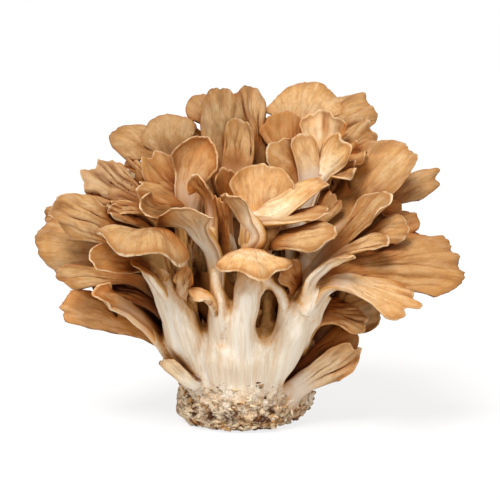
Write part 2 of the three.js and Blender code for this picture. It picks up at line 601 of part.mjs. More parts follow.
/** A rosette's caps, fanning out from one stem. */
function rosetteCaps({ azimuth, foot, radius, height, reach, width }) {
  const angle = radians(azimuth);
  const outward = new THREE.Vector3(Math.cos(angle), Math.sin(angle), 0);
  const sideways = new THREE.Vector3(-Math.sin(angle), Math.cos(angle), 0);
  return ROSETTE_CAPS.map((row) => {
    const neck = new THREE.Vector3(0, 0, height + row.lift)
      .addScaledVector(outward, radius - row.back)
      .addScaledVector(sideways, row.aside);
    const growth = new THREE.Vector3(0, 0, row.up)
      .addScaledVector(outward, row.out)
      .addScaledVector(sideways, row.along)
      .setLength(reach);
    const tip = neck.clone().add(growth);
    const face = [outward.x, outward.y, 0.5];
    return cap(foot, neck.toArray(), tip.toArray(), face, { width: width * row.size, spread: 54, curl: 22 });
  });
}

/** A named mesh of a solid, standing at its own anchor point. */
function namedMesh(name, body, look, anchor) {
  const { vertProperties, triVerts } = body.getMesh();
  const geometry = new THREE.BufferGeometry();
  geometry.setAttribute('position', new THREE.BufferAttribute(vertProperties, 3));
  geometry.setIndex(new THREE.BufferAttribute(triVerts, 1));
  geometry.translate(-anchor.x, -anchor.y, -anchor.z);
  geometry.computeVertexNormals();
  const mesh = new THREE.Mesh(geometry, new THREE.MeshStandardMaterial({ ...look, metalness: 0 }));
  mesh.name = name;
  mesh.position.copy(anchor);
  return mesh;
}

/** Every piece in the order in which it takes up room: a later one gives way to those before it. */
function pieces() {
  const list = [];
  const origin = new THREE.Vector3();
  const add = (name, look, anchor, make) => list.push({ name, look, anchor, make });
  add('substrate', COLOURS.substrate, origin, (grow) => baseSolid(SUBSTRATE_RINGS, grow));
  add('butt', COLOURS.flesh, origin, (grow) => baseSolid(BUTT_RINGS, grow));
  const addStalk = ([name, way]) => {
    add(name, COLOURS.flesh, new THREE.Vector3(...way[0]), (grow) => stalkSolid(way, grow));
  };
  Object.entries(FRONT_STALKS).forEach(addStalk);
  const rosettes = Object.entries(ROSETTES).map(([name, row]) => [name, rosetteCaps(row)]);
  [...Object.entries(FRONDS), ...rosettes].forEach(([name, caps]) => {
    add(name, COLOURS.cap, caps[0].foot, (grow) => frondSolid(caps, grow));
  });
  Object.entries(REAR_STALKS).forEach(addStalk);
  return list;
}

/** The cluster: each piece cut back to keep its clearance from the pieces before it. */
function maitake() {
  const cluster = new THREE.Group();
  const placed = [];
  pieces().forEach(({ name, look, anchor, make }) => {
    const whole = make(0);
    const cut = placed.reduce((body, earlier) => body.subtract(earlier), whole);
    cluster.add(namedMesh(name, largest(cut), look, anchor));
    placed.push(whole.add(make(CLEARANCE)));
  });
  return cluster;
}

export default maitake();
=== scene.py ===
"""The looks of a maitake: brown fibrous caps, pale stalks grown together, and a crust of crumbs.

Lengths are in millimetres until a mesh is made, and angles in degrees where they are written down.
Every frond repeats the places of its CAD node, and adds what the CAD leaves out: its ruffles, folds,
scalloped margin and colouring.
"""
import math
import random

import bmesh
import bpy
import numpy as np
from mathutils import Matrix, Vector, noise
from mathutils.bvhtree import BVHTree


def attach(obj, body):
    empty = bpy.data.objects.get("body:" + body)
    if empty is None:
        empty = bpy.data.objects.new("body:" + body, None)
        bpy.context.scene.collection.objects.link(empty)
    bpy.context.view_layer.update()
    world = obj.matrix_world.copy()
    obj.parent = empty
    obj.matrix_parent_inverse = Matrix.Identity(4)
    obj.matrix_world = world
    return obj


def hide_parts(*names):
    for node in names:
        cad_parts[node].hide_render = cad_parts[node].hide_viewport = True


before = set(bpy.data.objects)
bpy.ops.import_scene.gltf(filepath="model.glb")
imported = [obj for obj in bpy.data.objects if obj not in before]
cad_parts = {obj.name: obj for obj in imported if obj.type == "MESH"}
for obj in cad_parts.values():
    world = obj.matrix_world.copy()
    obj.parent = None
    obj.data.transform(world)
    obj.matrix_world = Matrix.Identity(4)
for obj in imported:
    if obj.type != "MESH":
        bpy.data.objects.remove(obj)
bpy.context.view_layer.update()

MM = 0.001

# ---------------------------------------------------------------- layout
# Each stalk's way up from the butt: x, y, z, half its width and half its depth.
STALKS = {
    "stalk_centre": [
        (1, -12, 8, 12, 10), (0, -24, 28, 9, 8), (0.5, -33, 48, 5.2, 6), (1.5, -37, 62, 5.2, 5),
        (4, -35, 76, 5, 4.6)],
    "stalk_left": [
        (-11, -12, 8, 10, 9), (-17, -19, 28, 8, 8), (-25, -28, 46, 7.3, 6.5), (-34, -34, 62, 6, 5)],
    "stalk_right": [
        (8, -10, 8, 10, 9), (11, -20, 24, 6.5, 7), (18, -29, 40, 6.6, 6), (23, -34, 54, 6.6, 5)],
    "stalk_centre_left": [
        (-6, -12, 12, 9, 8), (-8, -22, 34, 6.4, 6.5), (-9.6, -31, 52, 5.2, 5), (-11.5, -35, 66, 3.4, 3.8)],
    "stalk_crown": [
        (0, 0, 10, 9, 9), (2, 2, 40, 7.5, 7.5), (3, 3, 70, 6.5, 6.5), (4, 4, 94, 5, 5)],
    "stalk_left_inner": [
        (-12, -4, 10, 8, 8), (-20, -8, 36, 6, 6), (-28, -10, 60, 5.5, 5.5), (-30, -9, 80, 5, 5)],
    "stalk_right_inner": [
        (12, -2, 10, 8, 8), (20, -5, 36, 6, 6), (27, -6, 62, 5.5, 5.5), (28, -5, 84, 5, 5)],
    "stalk_back_left": [
        (-8, 8, 8, 9, 9), (-15, 19, 34, 7, 7), (-23, 27, 56, 5.5, 5.5), (-25, 29, 64, 4.5, 4.5)],
    "stalk_back_right": [
        (10, 8, 8, 9, 9), (17, 19, 34, 7, 7), (25, 27, 56, 5.5, 5.5), (27, 29, 64, 4.5, 4.5)],
}
# Flesh that webs the feet of the stalks together, given like a stalk.
WEBS = [
    [(0, -6, 8, 23, 17), (-1, -12, 22, 19, 17), (0, -19, 32, 18.5, 15), (3, -24, 39, 15, 12),
     (3, -26, 43, 9, 8)],
    [(-15, -14, 20, 8, 7), (-20, -22, 34, 7, 6), (-26, -28, 46, 6, 5), (-31, -32, 58, 5, 4.5)],
    [(-24, -24, 42, 5, 5), (-27, -29, 54, 3.6, 4), (-28.5, -32, 66, 3, 3)],
    [(-20, -10, 16, 5, 7), (-28, -12, 32, 4, 5), (-40, -16, 46, 3.5, 4)],
    [(-15, -22, 32, 4, 4), (-18.5, -25, 44, 3, 3), (-21.5, -28, 58, 3, 3)],
    [(10, -14, 20, 6, 7), (17, -22, 34, 5, 6), (25, -27, 46, 4.6, 5), (33, -28, 57, 3.6, 4)],
    [(14, -6, 10, 7, 8), (20, -8, 22, 4.5, 6), (27, -10, 36, 3.5, 4)],
    [(13, -26, 36, 4, 5), (15.8, -31, 47, 2.6, 3.4), (15, -35, 55, 2.4, 3), (10.5, -37, 62, 2.4, 3),
     (6, -38, 66, 3, 3)],
    [(7, -22, 36, 5, 4), (10.5, -24, 48, 2.8, 3), (7, -24, 62, 2.2, 3)],
]
# The butt from its underside up: height, half width, half depth, and its middle along X and Y.
BUTT = [
    (0.6, 18.5, 15.5, -3, -2), (3, 23.5, 19, -1.8, -2), (7, 27, 21.5, -0.5, -2), (12, 28, 22, 0, -2),
    (16.5, 25.5, 21, -1, -3), (22, 20.5, 18.5, -2.5, -5), (29, 19.5, 17.5, -1.5, -8),
    (38, 16, 15, 0, -12), (47, 9, 10, 0, -14),
]
# The plug of substrate from the floor up: height, half width, half depth, and its middle along X.
PLUG = [(0, 16.5, 14.5, -3.2), (0.8, 19, 17, -2.8), (3, 23.5, 19.5, -1.8), (6, 26, 21, -0.8),
        (9, 25, 20, -0.5)]
PLUG_FORWARD = 2  # how far in front of the origin the plug's middle is

NECK_SHARE = 0.52  # how wide the neck of a cap is for its width, where its stem isn't given
FLESH_THICKNESS = 1.5


def cap(foot, neck, tip, face, width, spread, **shape):
    """A cap: where its stem leaves the stalk, where the stem opens, the middle of its margin, and
    where its face looks. spread is how far its sides fan out.

    side, skew, curl, cup, twist, open and stem are the CAD piece's, and stem is the foot's width and
    depth and the neck's. ruffle is how far the margin waves and how many times, lobes how many there
    are and how deep the clefts between them, and roll how far the last of the margin bends back.
    folds is how many folds run out to the margin and pleat how deep they are. outline scales the
    reach and hem lifts the margin, in mm, at even steps across. tone is from -1, pale, to 1, dark;
    warm adds orange, grey takes colour away, and rim is from -1, a dark rim, to 1, a pale one.
    """
    common = {"side": 0.25, "skew": 0, "curl": 0, "cup": 0, "twist": 0, "ruffle": (8, 2), "lobes": (1, 0),
              "outline": (1, 1), "hem": (0, 0), "roll": 18, "open": 0.5, "folds": 5, "pleat": 0.3,
              "stem": (8, 6, NECK_SHARE * width, 3.5), "tone": 0, "warm": 0, "grey": 0, "rim": 0}
    return {**common, "foot": foot, "neck": neck, "tip": tip, "face": face, "width": width,
            "spread": spread, **shape}


def inner_cap(*places, **shape):
    """A dark ruffled cap that fills the inside of the cluster, seen only through gaps; its dark tone is
    partly painted shade.
    """
    return cap(*places, **{"side": 0.2, "ruffle": (12, 3), "lobes": (5, 0.1), "pleat": 0.6, "tone": 0.6,
                           **shape})


FRONDS = {
    "crown_dome": [
        cap((6, 6, 82), (24, 12, 116), (27, 30, 135), (0, -0.8, 0.6), 34, 66, side=0.3, curl=45,
            ruffle=(4, 1.5), outline=(1, 0.98, 1, 1.02, 1, 0.97, 0.9), folds=3, pleat=0.1, tone=-0.3,
            warm=0.1, rim=-0.3),
        cap((10, 6, 82), (31, 16, 120), (51, 27, 129), (-0.3, -0.75, 0.7), 14, 36, side=0.32, curl=22,
            ruffle=(10, 2), outline=(0.9, 1, 0.92, 1, 0.97), stem=(8, 6, 10, 3.5), rim=-0.4),
        cap((12, 4, 80), (33, 12, 115), (53, 20, 124), (-0.3, -0.75, 0.6), 12, 34, side=0.3, curl=20,
            ruffle=(12, 2), tone=0.2, grey=0.3),
    ],
    "crown_upright": [
        cap((24, -4, 78), (30, -7, 104), (32, -2, 125), (0.1, 1, 0.25), 18, 40, side=0.12, curl=30,
            ruffle=(14, 2.4), lobes=(3, 0.08), stem=(8, 6, 11, 3.5), pleat=0.22, tone=-0.8, rim=0.5),
    ],
    "crown_side": [
        cap((26, 0, 80), (35, 2, 107), (53, 8, 120), (-0.35, -0.8, 0.5), 14, 38, side=0.28, curl=15,
            ruffle=(14, 2.5), lobes=(3, 0.1), pleat=0.45, tone=0.1, rim=0.3),
        cap((24, -6, 78), (31, -8, 103), (50, -6, 111), (-0.2, -0.7, 0.8), 10, 34, cup=25, ruffle=(18, 2),
            lobes=(3, 0.16), pleat=0.4, tone=-0.3, rim=0.8),
        cap((24, -8, 78), (30, -12, 101), (46, -14, 105), (-0.2, -0.6, 0.8), 10, 30, cup=20,
            ruffle=(16, 2), lobes=(2, 0.14), tone=-0.3, rim=0.8),
        cap((24, -4, 74), (29, -6, 82), (41, -4, 98), (-0.3, -0.9, 0.2), 17, 36, ruffle=(12, 2),
            lobes=(3, 0.1), pleat=0.5, tone=0.3, warm=0.3),
        cap((24, -6, 70), (26, -12, 79), (36, -12, 94), (-0.3, -0.9, 0.2), 12, 30, ruffle=(12, 2),
            lobes=(3, 0.1), pleat=0.5, tone=0.2),
    ],
    "crown_petals": [
        cap((22, -9, 78), (29, -12, 101), (40, -16, 115), (-0.3, -0.9, 0.3), 14.5, 34, side=0.3, curl=-12,
            cup=-10, outline=(0.9, 1, 0.95, 1.02, 0.92), stem=(8, 6, 9.5, 3.5), tone=-0.75, rim=0.8),
        cap((22, -9, 78), (22, -11, 101), (11, -11, 114), (0.2, -0.9, 0.35), 17, 50, side=0.34, curl=-15,
            cup=16, ruffle=(7, 1.5), stem=(8, 6, 11, 3.5), tone=0.05, warm=0.2, rim=0.7),
        cap((22, -8, 78), (25, -13, 102), (22, -12, 117), (0.1, -0.9, 0.2), 12, 30, side=0.34, curl=-15,
            cup=26, ruffle=(4, 1.5), stem=(8, 6, 9.5, 3.5), pleat=0.2, tone=-0.38, warm=0.3, rim=0.5),
    ],
    "crown_dark_bowl": [
        cap((10, 0, 84), (17, 0, 107), (15, 6, 126), (0, -1, 0.15), 20, 56, side=0.2, curl=-25,
            ruffle=(6, 2), lobes=(5, 0.05), tone=0.35, warm=0.9),
    ],
    "crown_spoon": [
        cap((0, 1, 84), (-7, -2, 100), (-10, 8, 134), (0.05, -0.95, 0.3), 21, 32, side=0.3, curl=12,
            cup=14, ruffle=(6, 2), outline=(0.72, 0.97, 1, 1, 0.98, 0.9, 0.6), pleat=0.35, tone=0.65,
            rim=-0.6),
        cap((0, 1, 84), (-3, -6, 102), (-1, -2, 122), (-0.35, -0.9, 0.2), 13, 20, side=0.3, curl=-24,
            cup=20, ruffle=(6, 2), stem=(7, 6, 13, 3), pleat=0.45, warm=0.2, rim=0.3),
        cap((0, 1, 84), (-11, 12, 117), (-21, 16, 131), (0.05, -0.9, 0.35), 13, 50, side=0.34, curl=20,
            ruffle=(6, 2), pleat=0.2, tone=0.2, grey=0.3, rim=-0.6),
        cap((0, 1, 84), (4, 4, 109), (3, 12, 135), (0.1, -1, 0.25), 14.5, 26, side=0.26, curl=20,
            pleat=0.5, grey=0.2, rim=-0.6),
    ],
    "bowls": [
        cap((-22, -12, 68), (-20, -20, 96), (-15, -18, 117), (0.1, -1, 0.28), 20, 60, side=0.26,
            skew=0.05, curl=-36, cup=24, ruffle=(3, 2), roll=-20, open=0.4, stem=(8, 6, 11, 3.5), folds=3,
            pleat=0.12, tone=-0.35, warm=0.4, rim=1),
        cap((-24, -12, 68), (-22, -18, 93), (-36, -14, 110), (0.3, -0.9, 0.3), 17, 46, side=0.22,
            curl=-20, cup=18, ruffle=(12, 2.6), outline=(0.95, 0.9, 1.02, 0.92, 1.05, 0.96, 0.8),
            tone=0.1, warm=0.35, rim=0.4),
    ],
    "small_scroll": [
        cap((-12, -31, 70), (-14, -28, 94), (-18, -32, 103), (-0.3, -0.9, 0.2), 9.5, 62, side=0.12,
            cup=60, ruffle=(10, 3), lobes=(4, 0.08), stem=(5.5, 5, 5, 3.5), pleat=0.4, warm=0.7, rim=1),
    ],
    "tongue": [
        cap((-2, -17, 60), (-7, -16, 88), (-6, -20, 104), (0.25, -0.9, 0.25), 11, 42, side=0.26, curl=-20,
            cup=34, ruffle=(6, 2), stem=(6, 5, 5, 3), pleat=0.2, tone=0.35, warm=1, rim=0.8),
        cap((-2, -17, 60), (-7, -26, 73), (-10, -30, 93), (-0.5, -0.9, 0), 7, 16, curl=-16,
            stem=(6, 5, 5, 3), tone=0.05, warm=0.5, rim=0.5),
    ],
    "left_pleated": [
        cap((-26, -12, 62), (-38, -14, 89), (-62, -10, 103), (0.1, -0.85, 0.45), 21, 44, side=0.16,
            curl=10, ruffle=(8, 3), outline=(0.82, 0.92, 1, 0.94, 1.04, 0.97, 0.98, 0.9), folds=8,
            pleat=1.15, tone=-0.05, grey=0.6, rim=0.3),
        cap((-28, -10, 70), (-36, -4, 97), (-46, 0, 108), (-0.2, -0.7, 0.7), 7, 26, side=0.3, curl=10,
            ruffle=(16, 2), lobes=(3, 0.1), pleat=0.4, grey=0.3),
    ],
    "far_left_large": [
        cap((-24, -8, 48), (-48, -14, 71), (-81, -14, 76), (0, -1, 0.1), 27, 52, side=0.26, curl=15,
            ruffle=(5, 2.4), outline=(0.9, 0.97, 1, 1, 0.98, 0.94, 0.86), folds=4, pleat=0.25, tone=-0.15,
            rim=-0.9),
        cap((-24, -8, 48), (-54, -6, 79), (-78, -8, 86), (0, -0.9, 0.5), 11, 40, side=0.28, curl=18,
            ruffle=(6, 2), rim=-0.5),
    ],
    "far_left_pleated": [
        cap((-26, -14, 52), (-47, -24, 79), (-73, -28, 91), (0.05, -0.9, 0.5), 21, 48, side=0.24, curl=22,
            ruffle=(8, 2.5), outline=(0.92, 0.9, 1, 0.98, 1, 0.92, 0.85), pleat=0.6, rim=0.5),
    ],
    "front_left_wavy": [
        cap((-32, -31, 60), (-36, -40, 81), (-38, -61, 78), (0, -0.5, 1), 34.5, 88, side=0.1, curl=70,
            cup=-14, twist=-14, ruffle=(2, 2), hem=(0.5, 2, -2.2, -0.6, 2.4, -1.6, 0.5), roll=50,
            open=0.25, stem=(10, 8, 13, 5), folds=3, pleat=0.12, tone=-0.1, rim=1),
        cap((-27, -27, 46), (-36, -38, 66), (-41, -44, 71), (0, -0.5, 1), 10, 50, side=0.2, curl=40,
            cup=20, ruffle=(5, 2), stem=(8, 7, 8, 4), pleat=0.1, tone=-0.5, rim=0.5),
    ],
    "left_under_bowl": [
        cap((-28, -24, 50), (-35, -34, 70), (-57, -46, 73), (0.25, -0.85, 0.5), 13, 44, side=0.3,
            curl=-20, cup=24, ruffle=(3, 2), folds=3, pleat=0.15, tone=0.1, warm=0.2, rim=1),
    ],
    "lowest_left": [
        cap((-20, -8, 18), (-37, -12, 38), (-71, -14, 52), (-0.1, -0.95, 0.35), 16, 22, side=0.24,
            curl=18, ruffle=(3, 1.5), lobes=(4, 0.02), stem=(7, 5, 7, 3.5), folds=3, pleat=0.15,
            tone=-0.9, warm=0.7, rim=-0.8),
    ],
    "left_scroll": [
        cap((-22, -16, 22), (-49, -28, 53), (-58, -32, 59), (-0.2, -0.6, 0.8), 9.5, 58, side=0.12, cup=50,
            stem=(10, 6, 8, 3.5), tone=-0.62, warm=0.7, rim=1),
        cap((-22, -16, 22), (-19, -24, 20), (-30, -28, 31), (0.7, 0.6, -0.25), 9, 26, side=0.2, skew=-0.1,
            curl=-25, ruffle=(5, 2), stem=(7, 5, 7, 3), pleat=0.2, tone=-0.7, rim=-1),
    ],
    "left_stalk_bud": [
        cap((-24, -26, 44), (-25, -34, 59), (-22, -40, 68), (0.1, -0.8, 0.4), 8, 60, side=0.3, cup=20,
            ruffle=(16, 2), stem=(6, 5, 5, 3), pleat=0.4, tone=-0.5, warm=0.3),
    ],
    "centre_small_cap": [
        cap((-10, -26, 40), (-13, -36, 55), (-22, -42, 60), (0.1, 0.6, -1), 9, 40, curl=-30,
            ruffle=(4, 2), stem=(7, 5, 7, 4), folds=3, pleat=0.2, tone=-1, rim=-0.5),
    ],
    "centre_left_funnel": [
        cap((-10.5, -31, 52), (-13, -38, 76), (-25, -50, 93), (0.35, 0.8, 0.5), 27, 62, side=0.06,
            skew=-0.06, curl=20, ruffle=(6, 2.2), open=0.6, stem=(6, 6, 9, 5.5), pleat=0.1, tone=-0.3,
            rim=1),
    ],
    "centre_front": [
        cap((2, -36, 58), (4, -40, 74), (5, -58, 68), (0, -0.7, 1), 29, 86, side=0.16, curl=36, cup=-16,
            ruffle=(2, 2), outline=(1.02, 0.98, 0.86, 1, 1.05, 0.84, 1, 1.02),
            hem=(-0.5, 0, 0.8, -0.5, -0.5, 1.2, 1.4), roll=35, open=0.25, stem=(9, 7, 12, 5), folds=3,
            pleat=0.15, tone=-0.8, rim=0.8),
    ],
    "centre_funnel": [
        cap((3, -35, 74), (7, -36, 85), (8, -24, 106), (0, -0.9, 0.4), 24, 58, side=0.2, curl=-24, cup=22,
            ruffle=(5, 2), stem=(9, 8, 15, 5), pleat=0.22, tone=-0.56, rim=0.35),
        cap((3, -35, 74), (8, -37, 87), (31, -32, 102), (-0.25, -0.75, 0.75), 11, 24, cup=30,
            stem=(8.6, 7.4, 9.6, 4.6), pleat=0.25, tone=-0.8, rim=0.5),
        cap((3, -35, 74), (7, -38, 86), (33, -40, 91), (-0.1, -0.3, 1), 11, 30, curl=8, ruffle=(4, 2.5),
            lobes=(3, 0.1), stem=(9, 8, 8, 5), pleat=0.2, tone=-0.4, rim=0.8),
        cap((3, -35, 74), (5, -39, 84), (-6, -42, 97), (0.45, 0.4, 0.7), 14, 34, side=0.15, curl=12,
            ruffle=(5, 2), stem=(9, 8, 12, 6), pleat=0.1, tone=-0.7, rim=1),
    ],
    "centre_right_cap": [
        cap((6, -30, 60), (11, -36, 79), (34, -50, 83), (-0.15, -0.75, 0.65), 14, 42, curl=25,
            ruffle=(6, 2), stem=(8, 6, 8, 3.5), tone=-0.25, rim=0.8),
    ],
    "right_stalk_left_cap": [
        cap((17, -28, 54), (19, -33, 61), (15, -40, 71), (0.1, -0.75, 0.6), 13, 50, curl=20,
            ruffle=(12, 2), lobes=(3, 0.1), stem=(7, 5, 8, 3.5), pleat=0.4, tone=0.2, warm=0.5, rim=0.3),
    ],
    "right_ribbon": [
        cap((23, -31, 52), (28, -41, 67), (42, -46, 74), (-0.3, 0.5, 0.85), 7, 24, side=0.3, curl=25,
            ruffle=(4, 2), stem=(7, 6, 5, 3.5), pleat=0.15, tone=-0.6, rim=0.6),
    ],
    "right_fan": [
        cap((23, -31, 50), (36, -32, 65), (84, -22, 70), (0, -0.8, 0.6), 35.5, 40, side=0.16, curl=12,
            ruffle=(8, 2.6), outline=(0.94, 0.97, 1, 1, 0.98, 0.97, 0.99, 1.02), stem=(11, 9, 10, 5),
            folds=7, pleat=0.6, tone=0.3, warm=0.5, rim=-0.6),
        cap((23, -32, 50), (39, -36, 63), (65, -44, 55), (0.1, -0.55, 0.85), 20, 42, side=0.14,
            skew=-0.04, curl=18, ruffle=(8, 2.5), outline=(0.9, 0.98, 0.9, 1.04, 0.94, 1, 0.9),
            stem=(11, 9, 10, 5), pleat=0.35, tone=-0.5, warm=0.3, rim=0.3),
    ],
    "right_inner_petal": [
        cap((16, -10, 20), (24, -14, 27), (46, -12, 39), (0.1, -0.85, 0.5), 14, 28, curl=12,
            ruffle=(6, 2), pleat=0.4, tone=0.35, warm=0.9, rim=0.2),
    ],
    "right_low_leaf": [
        cap((14, -10, 6), (21, -16, 17), (46, -20, 34), (-0.3, 0.9, 0.35), 15.5, 34, side=0.24, curl=20,
            outline=(0.86, 1, 0.97, 1.02, 0.95, 0.86), stem=(12, 8, 12, 4), pleat=0.6, tone=-0.45,
            warm=0.45),
    ],
    "right_tall_spoon": [
        cap((25, -6, 56), (37, -8, 85), (65, -4, 112), (-0.4, -0.8, 0.45), 29, 50, side=0.3, curl=-12,
            cup=26, ruffle=(4, 2), outline=(0.95, 1, 0.99, 1, 0.98, 0.94), stem=(9, 8, 19, 4), folds=3,
            pleat=0.2, tone=-0.3, rim=-0.2),
        cap((26, -10, 58), (36, -20, 74), (55, -26, 95), (-0.5, -0.65, 0.6), 15, 30, side=0.22, cup=12,
            outline=(0.7, 0.94, 1, 0.98, 0.95, 0.9), pleat=0.4, rim=1),
    ],
    "right_back_lobe": [
        cap((28, 2, 64), (57, 6, 89), (79, 8, 99), (0, -0.85, 0.55), 14, 44, side=0.3, curl=18,
            ruffle=(5, 2), outline=(0.9, 1, 0.93, 1, 0.96, 0.85), pleat=0.2, tone=0.1, grey=0.2,
            rim=-0.5),
        cap((28, 2, 62), (52, 2, 85), (64, 2, 88), (0, -0.8, 0.6), 8, 34, side=0.28, curl=15, tone=0.4,
            warm=0.8),
    ],
    "right_shelf": [
        cap((26, -12, 54), (40, -22, 73), (65, -26, 83), (-0.15, -0.75, 0.65), 14, 36, side=0.24, curl=22,
            ruffle=(6, 2.4), lobes=(2, 0.04), tone=-0.1, rim=0.6),
        cap((26, -12, 54), (48, -10, 77), (71, -10, 84), (-0.1, -0.8, 0.6), 13, 36, curl=16, tone=0.3,
            warm=0.3, rim=-0.4),
        cap((26, -12, 54), (37, -30, 72), (56, -36, 78), (-0.1, -0.65, 0.8), 9, 32, curl=22,
            ruffle=(14, 2.6), lobes=(3, 0.08), pleat=0.4, tone=-0.1, rim=0.9),
    ],
    "upper_left": [
        cap((-26, -4, 76), (-30, 2, 108), (-53, 8, 117), (-0.15, -0.75, 0.7), 20, 62, side=0.36, curl=28,
            ruffle=(4, 1.5), folds=3, pleat=0.12, tone=0.3, rim=-0.5),
        cap((-24, -4, 78), (-27, 0, 106), (-32, 8, 125), (0, -0.85, 0.5), 23, 62, side=0.3, curl=30,
            ruffle=(8, 2.2), folds=4, pleat=0.25, tone=0.5, grey=0.2, rim=-0.7),
    ],
    "left_mid": [
        cap((-24, -18, 60), (-23, -20, 90), (-40, -26, 98), (0.2, -0.7, 0.7), 13, 40, side=0.22, curl=25,
            ruffle=(14, 2.6), outline=(0.8, 1, 0.9, 1.02, 0.92, 0.8), pleat=0.4, warm=0.2, rim=0.8),
        cap((-24, -22, 60), (-29, -28, 88), (-39, -36, 91), (0.4, -0.7, 0.55), 11.5, 56, side=0.2,
            curl=-30, cup=30, tone=0.55, rim=1),
        cap((-24, -20, 58), (-37, -22, 87), (-53, -24, 91), (0, -0.6, 0.8), 9, 32, curl=20,
            ruffle=(14, 3), lobes=(3, 0.1), pleat=0.5, grey=0.4, rim=0.6),
        cap((-24, -20, 50), (-36, -22, 81), (-52, -26, 90), (0.4, -0.7, 0.6), 6, 20, side=0.3, curl=20,
            ruffle=(10, 2), pleat=0.5, tone=0.1, grey=0.3, rim=0.8),
    ],
    "left_low": [
        cap((-24, -14, 40), (-44, -24, 61), (-71, -28, 66), (0, -0.7, 0.7), 12, 32, side=0.28, curl=12,
            ruffle=(8, 2.4), lobes=(3, 0.06), pleat=0.4, tone=0.1, rim=-0.3),
        cap((-22, -14, 34), (-36, -22, 52), (-58, -22, 63), (0.3, -0.7, 0.7), 17, 40, side=0.2,
            ruffle=(18, 3), lobes=(5, 0.12), pleat=0.9, tone=0.55, warm=0.3),
    ],
    "right_recess": [
        cap((21, -12, 32), (34, -26, 47), (49, -24, 45), (-0.1, -0.8, 0.5), 15, 46, curl=24,
            ruffle=(10, 2.4), outline=(0.85, 1, 0.88, 1, 0.9, 1), folds=6, pleat=0.8, warm=0.4, rim=0.6),
        cap((21, -12, 32), (33, -10, 50), (55, -8, 47), (0, -0.8, 0.5), 15, 44, ruffle=(12, 3),
            outline=(0.9, 1, 0.9, 1, 0.9, 0.96), pleat=1.1, tone=0.5, warm=0.9),
    ],
    "inner_left": [
        inner_cap((-20, -4, 60), (-24, -4, 81), (-28, 2, 111), (0.1, -1, 0.3), 34, 50, side=0.25,
            lobes=(4, 0.1)),
        inner_cap((-20, -4, 56), (-30, -6, 71), (-62, 0, 87), (0.1, -1, 0.3), 42, 46),
        inner_cap((-20, -6, 40), (-31, -6, 50), (-58, -4, 65), (0.1, -1, 0.3), 34, 44, lobes=(4, 0.1)),
        inner_cap((-10, -6, 26), (-21, -8, 28), (-33, -8, 56), (0.1, -1, 0.2), 30, 36, ruffle=(10, 3),
            lobes=(3, 0.08), tone=0.8),
    ],
    "inner_centre": [
        inner_cap((4, -6, 26), (-1, -8, 30), (-3, -10, 68), (0, -1, 0.2), 42, 36, ruffle=(10, 3),
            lobes=(4, 0.08), tone=0.8),
        inner_cap((3, 2, 60), (-3, -2, 65), (-7, 2, 110), (0.1, -1, 0.25), 44, 44, side=0.22, tone=1),
        inner_cap((3, 2, 70), (8, 0, 78), (15, 8, 117), (0, -1, 0.25), 40, 44, side=0.22, tone=1),
    ],
    "inner_right": [
        inner_cap((10, -6, 26), (17, -6, 29), (31, -6, 57), (0, -1, 0.2), 34, 36, ruffle=(10, 3),
            lobes=(3, 0.08), tone=0.8),
        inner_cap((20, -2, 60), (25, 0, 71), (37, 4, 105), (0, -1, 0.3), 40, 48, side=0.22),
        inner_cap((20, -2, 50), (26, -4, 61), (63, 0, 79), (0, -1, 0.3), 42, 42),
    ],
}
# The fronds of the sides and the back: which way each looks, from +X towards +Y, where its stem
# starts, how far out and how high it opens, and how long and how wide its caps are.
ROSETTES = {
    "side_low_right": (4, (16, 20, 38), 34, 46, 28, 28),
    "back_low_right": (42, (16, 20, 38), 36, 46, 32, 32),
    "back_low": (90, (2, 16, 34), 34, 42, 34, 36),
    "back_low_left": (138, (-14, 20, 38), 36, 46, 32, 32),
    "side_low_left": (176, (-14, 20, 38), 36, 48, 28, 28),
    "side_high_right": (12, (26, 28, 66), 42, 74, 28, 30),
    "back_high_right": (55, (26, 28, 66), 40, 78, 34, 36),
    "back_high": (90, (4, 14, 70), 30, 88, 34, 34),
    "back_high_left": (125, (-24, 28, 66), 40, 76, 34, 36),
    "side_high_left": (168, (-24, 28, 66), 42, 72, 28, 30),
}
# A rosette's three caps: how far each grows along, out and up, its share of the width, and how far
# its neck is aside of, behind and above the rosette's middle.
ROSETTE_CAPS = [
    {"along": 0.7, "out": 0.5, "up": 0.6, "size": 1, "aside": 4, "back": 0, "lift": 0},
    {"along": -0.7, "out": 0.65, "up": 0.45, "size": 0.9, "aside": -4, "back": 0, "lift": -4},
    {"along": 0.08, "out": 0.12, "up": 1.1, "size": 0.95, "aside": 0, "back": 10, "lift": 8},
]


# ---------------------------------------------------------------- curves and noise
NOISE_GAIN = 1.7  # stretches Blender's noise to about -1 to 1
SEEDS = 50  # random places in the noise are drawn from 0 to this
CURVE_STEPS = 16
APART = (0, 37, 91)  # keeps the noise for X, for Y and for Z unlike one another
DRIFTS = [(1.2, 23), (0.3, 6)]  # how far the cluster's points are pushed, and over what lengths


def unit(vector):
    vector = np.asarray(vector, float)
    return vector / np.linalg.norm(vector, axis=-1, keepdims=True)


def smoothstep(low, high, x):
    share = np.clip((x - low) / (high - low), 0, 1)
    return share * share * (3 - 2 * share)


def lerp(a, b, share):
    return a + (b - a) * share


def smooth_noise(x, y, z):
    """Smooth noise, about -1 to 1, at points whose x, y and z may be arrays or numbers."""
    x, y, z = np.broadcast_arrays(x, y, z)
    values = [noise.noise(Vector(point)) for point in zip(x.ravel(), y.ravel(), z.ravel())]
    return NOISE_GAIN * np.array(values).reshape(x.shape)


def noise_of_length(points, lengths, apart=0):
    """Smooth noise at each point, with bumps as long as lengths says along X, Y and Z."""
    x, y, z = (points / np.array(lengths)).T
    return smooth_noise(x, y, z + apart)


def even_curve(values, places):
    """A smooth line through values spread evenly from -1 to 1, read at places."""
    line = along_spline(np.array(values, float)[:, None], CURVE_STEPS)[:, 0]
    return np.interp(places, np.linspace(-1, 1, len(line)), line)


